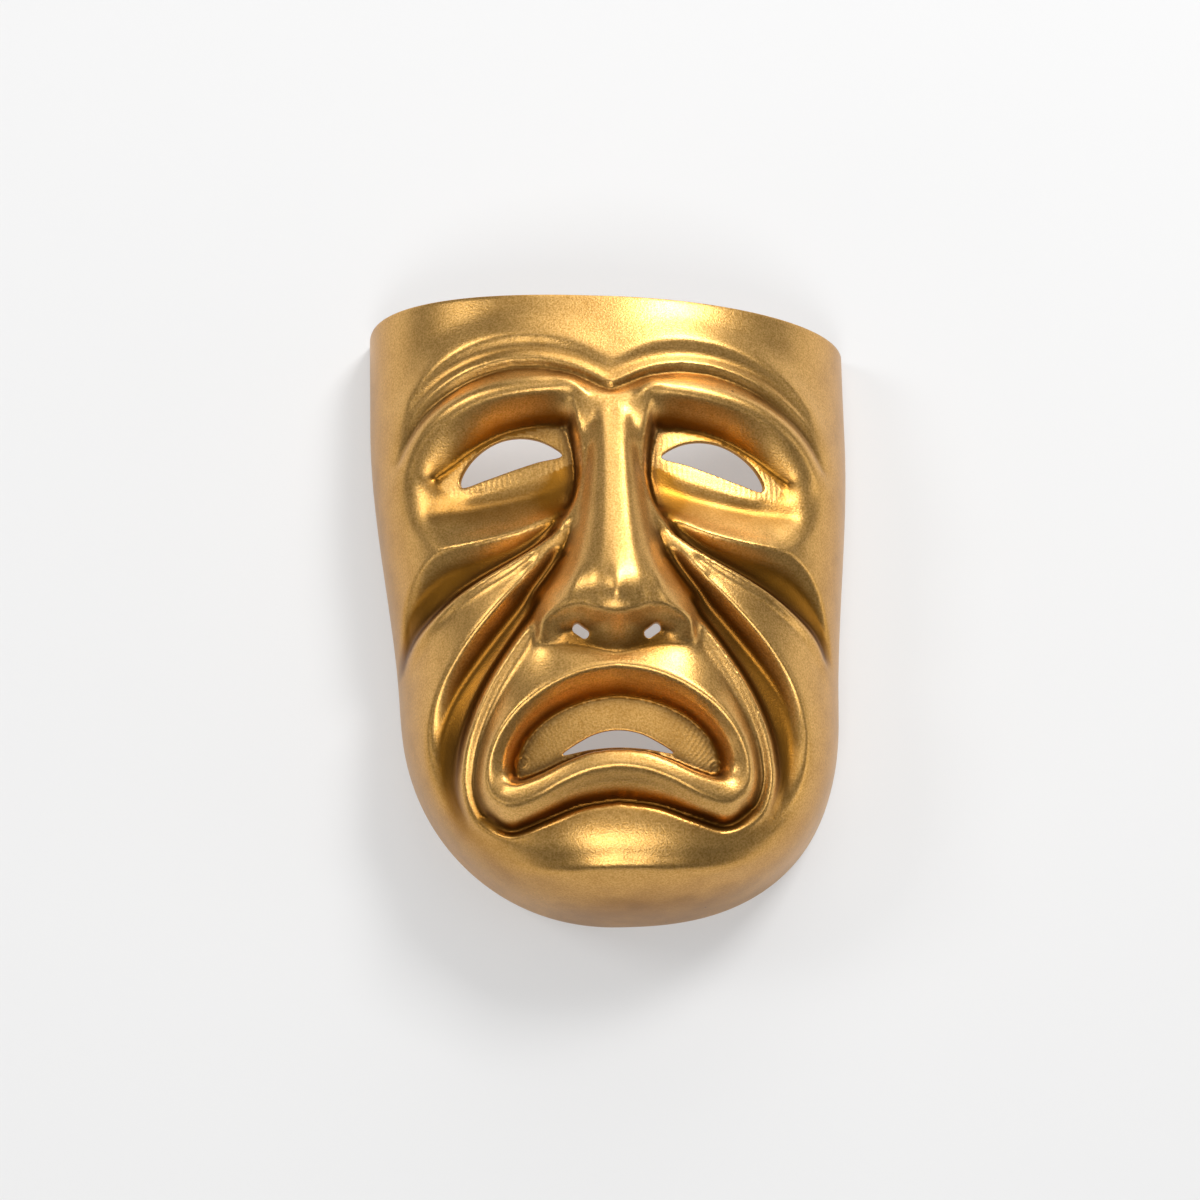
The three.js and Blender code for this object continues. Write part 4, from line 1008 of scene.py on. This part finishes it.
# %% Light
AIM = Vector((0, 0, 0.05))    # the lamps point at the middle of the mask
LAMPS = [                     # name, place, side of the square, brightness
    ("ceiling", (0.2, 0.7, 2.1), 1.6, 1.0),        # the sheen of all level faces
    ("key", (0.8, 1.1, 1.5), 0.55, 23.0),          # crests of the brow, nose and cheek folds
    ("high_left", (-1.2, 0.5, 1.2), 0.5, 8.5),     # the same from the left, weaker
    ("right_side", (1.6, -0.3, 0.5), 0.8, 1.6),    # edge of the right temple and jaw
    ("low_top", (0.3, 1.8, 0.8), 1.4, 2.0),        # the forehead and the walls that face it
    ("front", (-0.15, -1.15, 1.8), 0.7, 7.5),      # the broad highlight of the chin
    ("low_left", (-1.3, -0.7, 0.6), 0.5, 1.6),     # edge of the left jaw
]
ROOM_GLOW = 0.08              # of the room round the table


def soft_light(name, place, size, brightness):
    """A square soft box aimed at the middle of the mask. Its power is pi times its brightness
    and its area."""
    light = bpy.data.lights.new(name, "AREA")
    light.size = size
    light.energy = math.pi * brightness * size ** 2
    shown = bpy.data.objects.new(name, light)
    shown.location = place
    shown.rotation_euler = (AIM - Vector(place)).to_track_quat("-Z", "Y").to_euler()
    bpy.context.collection.objects.link(shown)


for lamp in LAMPS:
    soft_light(*lamp)
world = bpy.data.worlds.new("studio")
world.use_nodes = True
background = world.node_tree.nodes["Background"].inputs
background["Color"].default_value = (1, 1, 1, 1)
background["Strength"].default_value = ROOM_GLOW
bpy.context.scene.world = world
print("%d soft boxes" % len(LAMPS))

# %% [markdown]
# ## Camera
# The picture is taken from 1.5 m, nearly from above, with the camera tipped a little towards
# the chin. Its angles were found by laying the outline of the mask over the photograph's, and
# its lens by the mask's width in the picture. The Standard view keeps the gold's own colours,
# where the default view greys bright metal.

# %% Camera
CAMERA_PITCH, CAMERA_YAW, CAMERA_ROLL = np.radians([15, -1.3, 1.1])
CAMERA_AWAY = 1.5
CAMERA_TARGET = Vector((-0.0047, 0.0008, 0.04))
PHOTO_WIDTH, PHOTO_FOCAL = 1200, 4266  # pixels
SENSOR = 36                   # mm


def camera():
    """Looks at the target along a line that leans from upright by the pitch, towards the
    chin, and by the yaw, and is rolled about it."""
    lean = math.cos(CAMERA_PITCH)
    back = Vector((math.sin(CAMERA_YAW) * lean, -math.sin(CAMERA_PITCH),
                   math.cos(CAMERA_YAW) * lean))
    level_up = (Vector((0, 1, 0)) - back * back.y).normalized()
    level_right = level_up.cross(back)
    turn, lift = math.sin(CAMERA_ROLL), math.cos(CAMERA_ROLL)
    right = lift * level_right - turn * level_up
    up = turn * level_right + lift * level_up
    data = bpy.data.cameras.new("camera")
    data.sensor_width = SENSOR
    data.lens = PHOTO_FOCAL / PHOTO_WIDTH * SENSOR
    shown = bpy.data.objects.new("camera", data)
    turned = Matrix((right, up, back)).transposed().to_4x4()
    shown.matrix_world = Matrix.Translation(CAMERA_TARGET + back * CAMERA_AWAY) @ turned
    bpy.context.collection.objects.link(shown)
    bpy.context.scene.camera = shown
    print("camera: lens %.1f mm, %.2f m from the mask" % (data.lens, CAMERA_AWAY))


camera()
bpy.context.scene.view_settings.view_transform = "Standard"
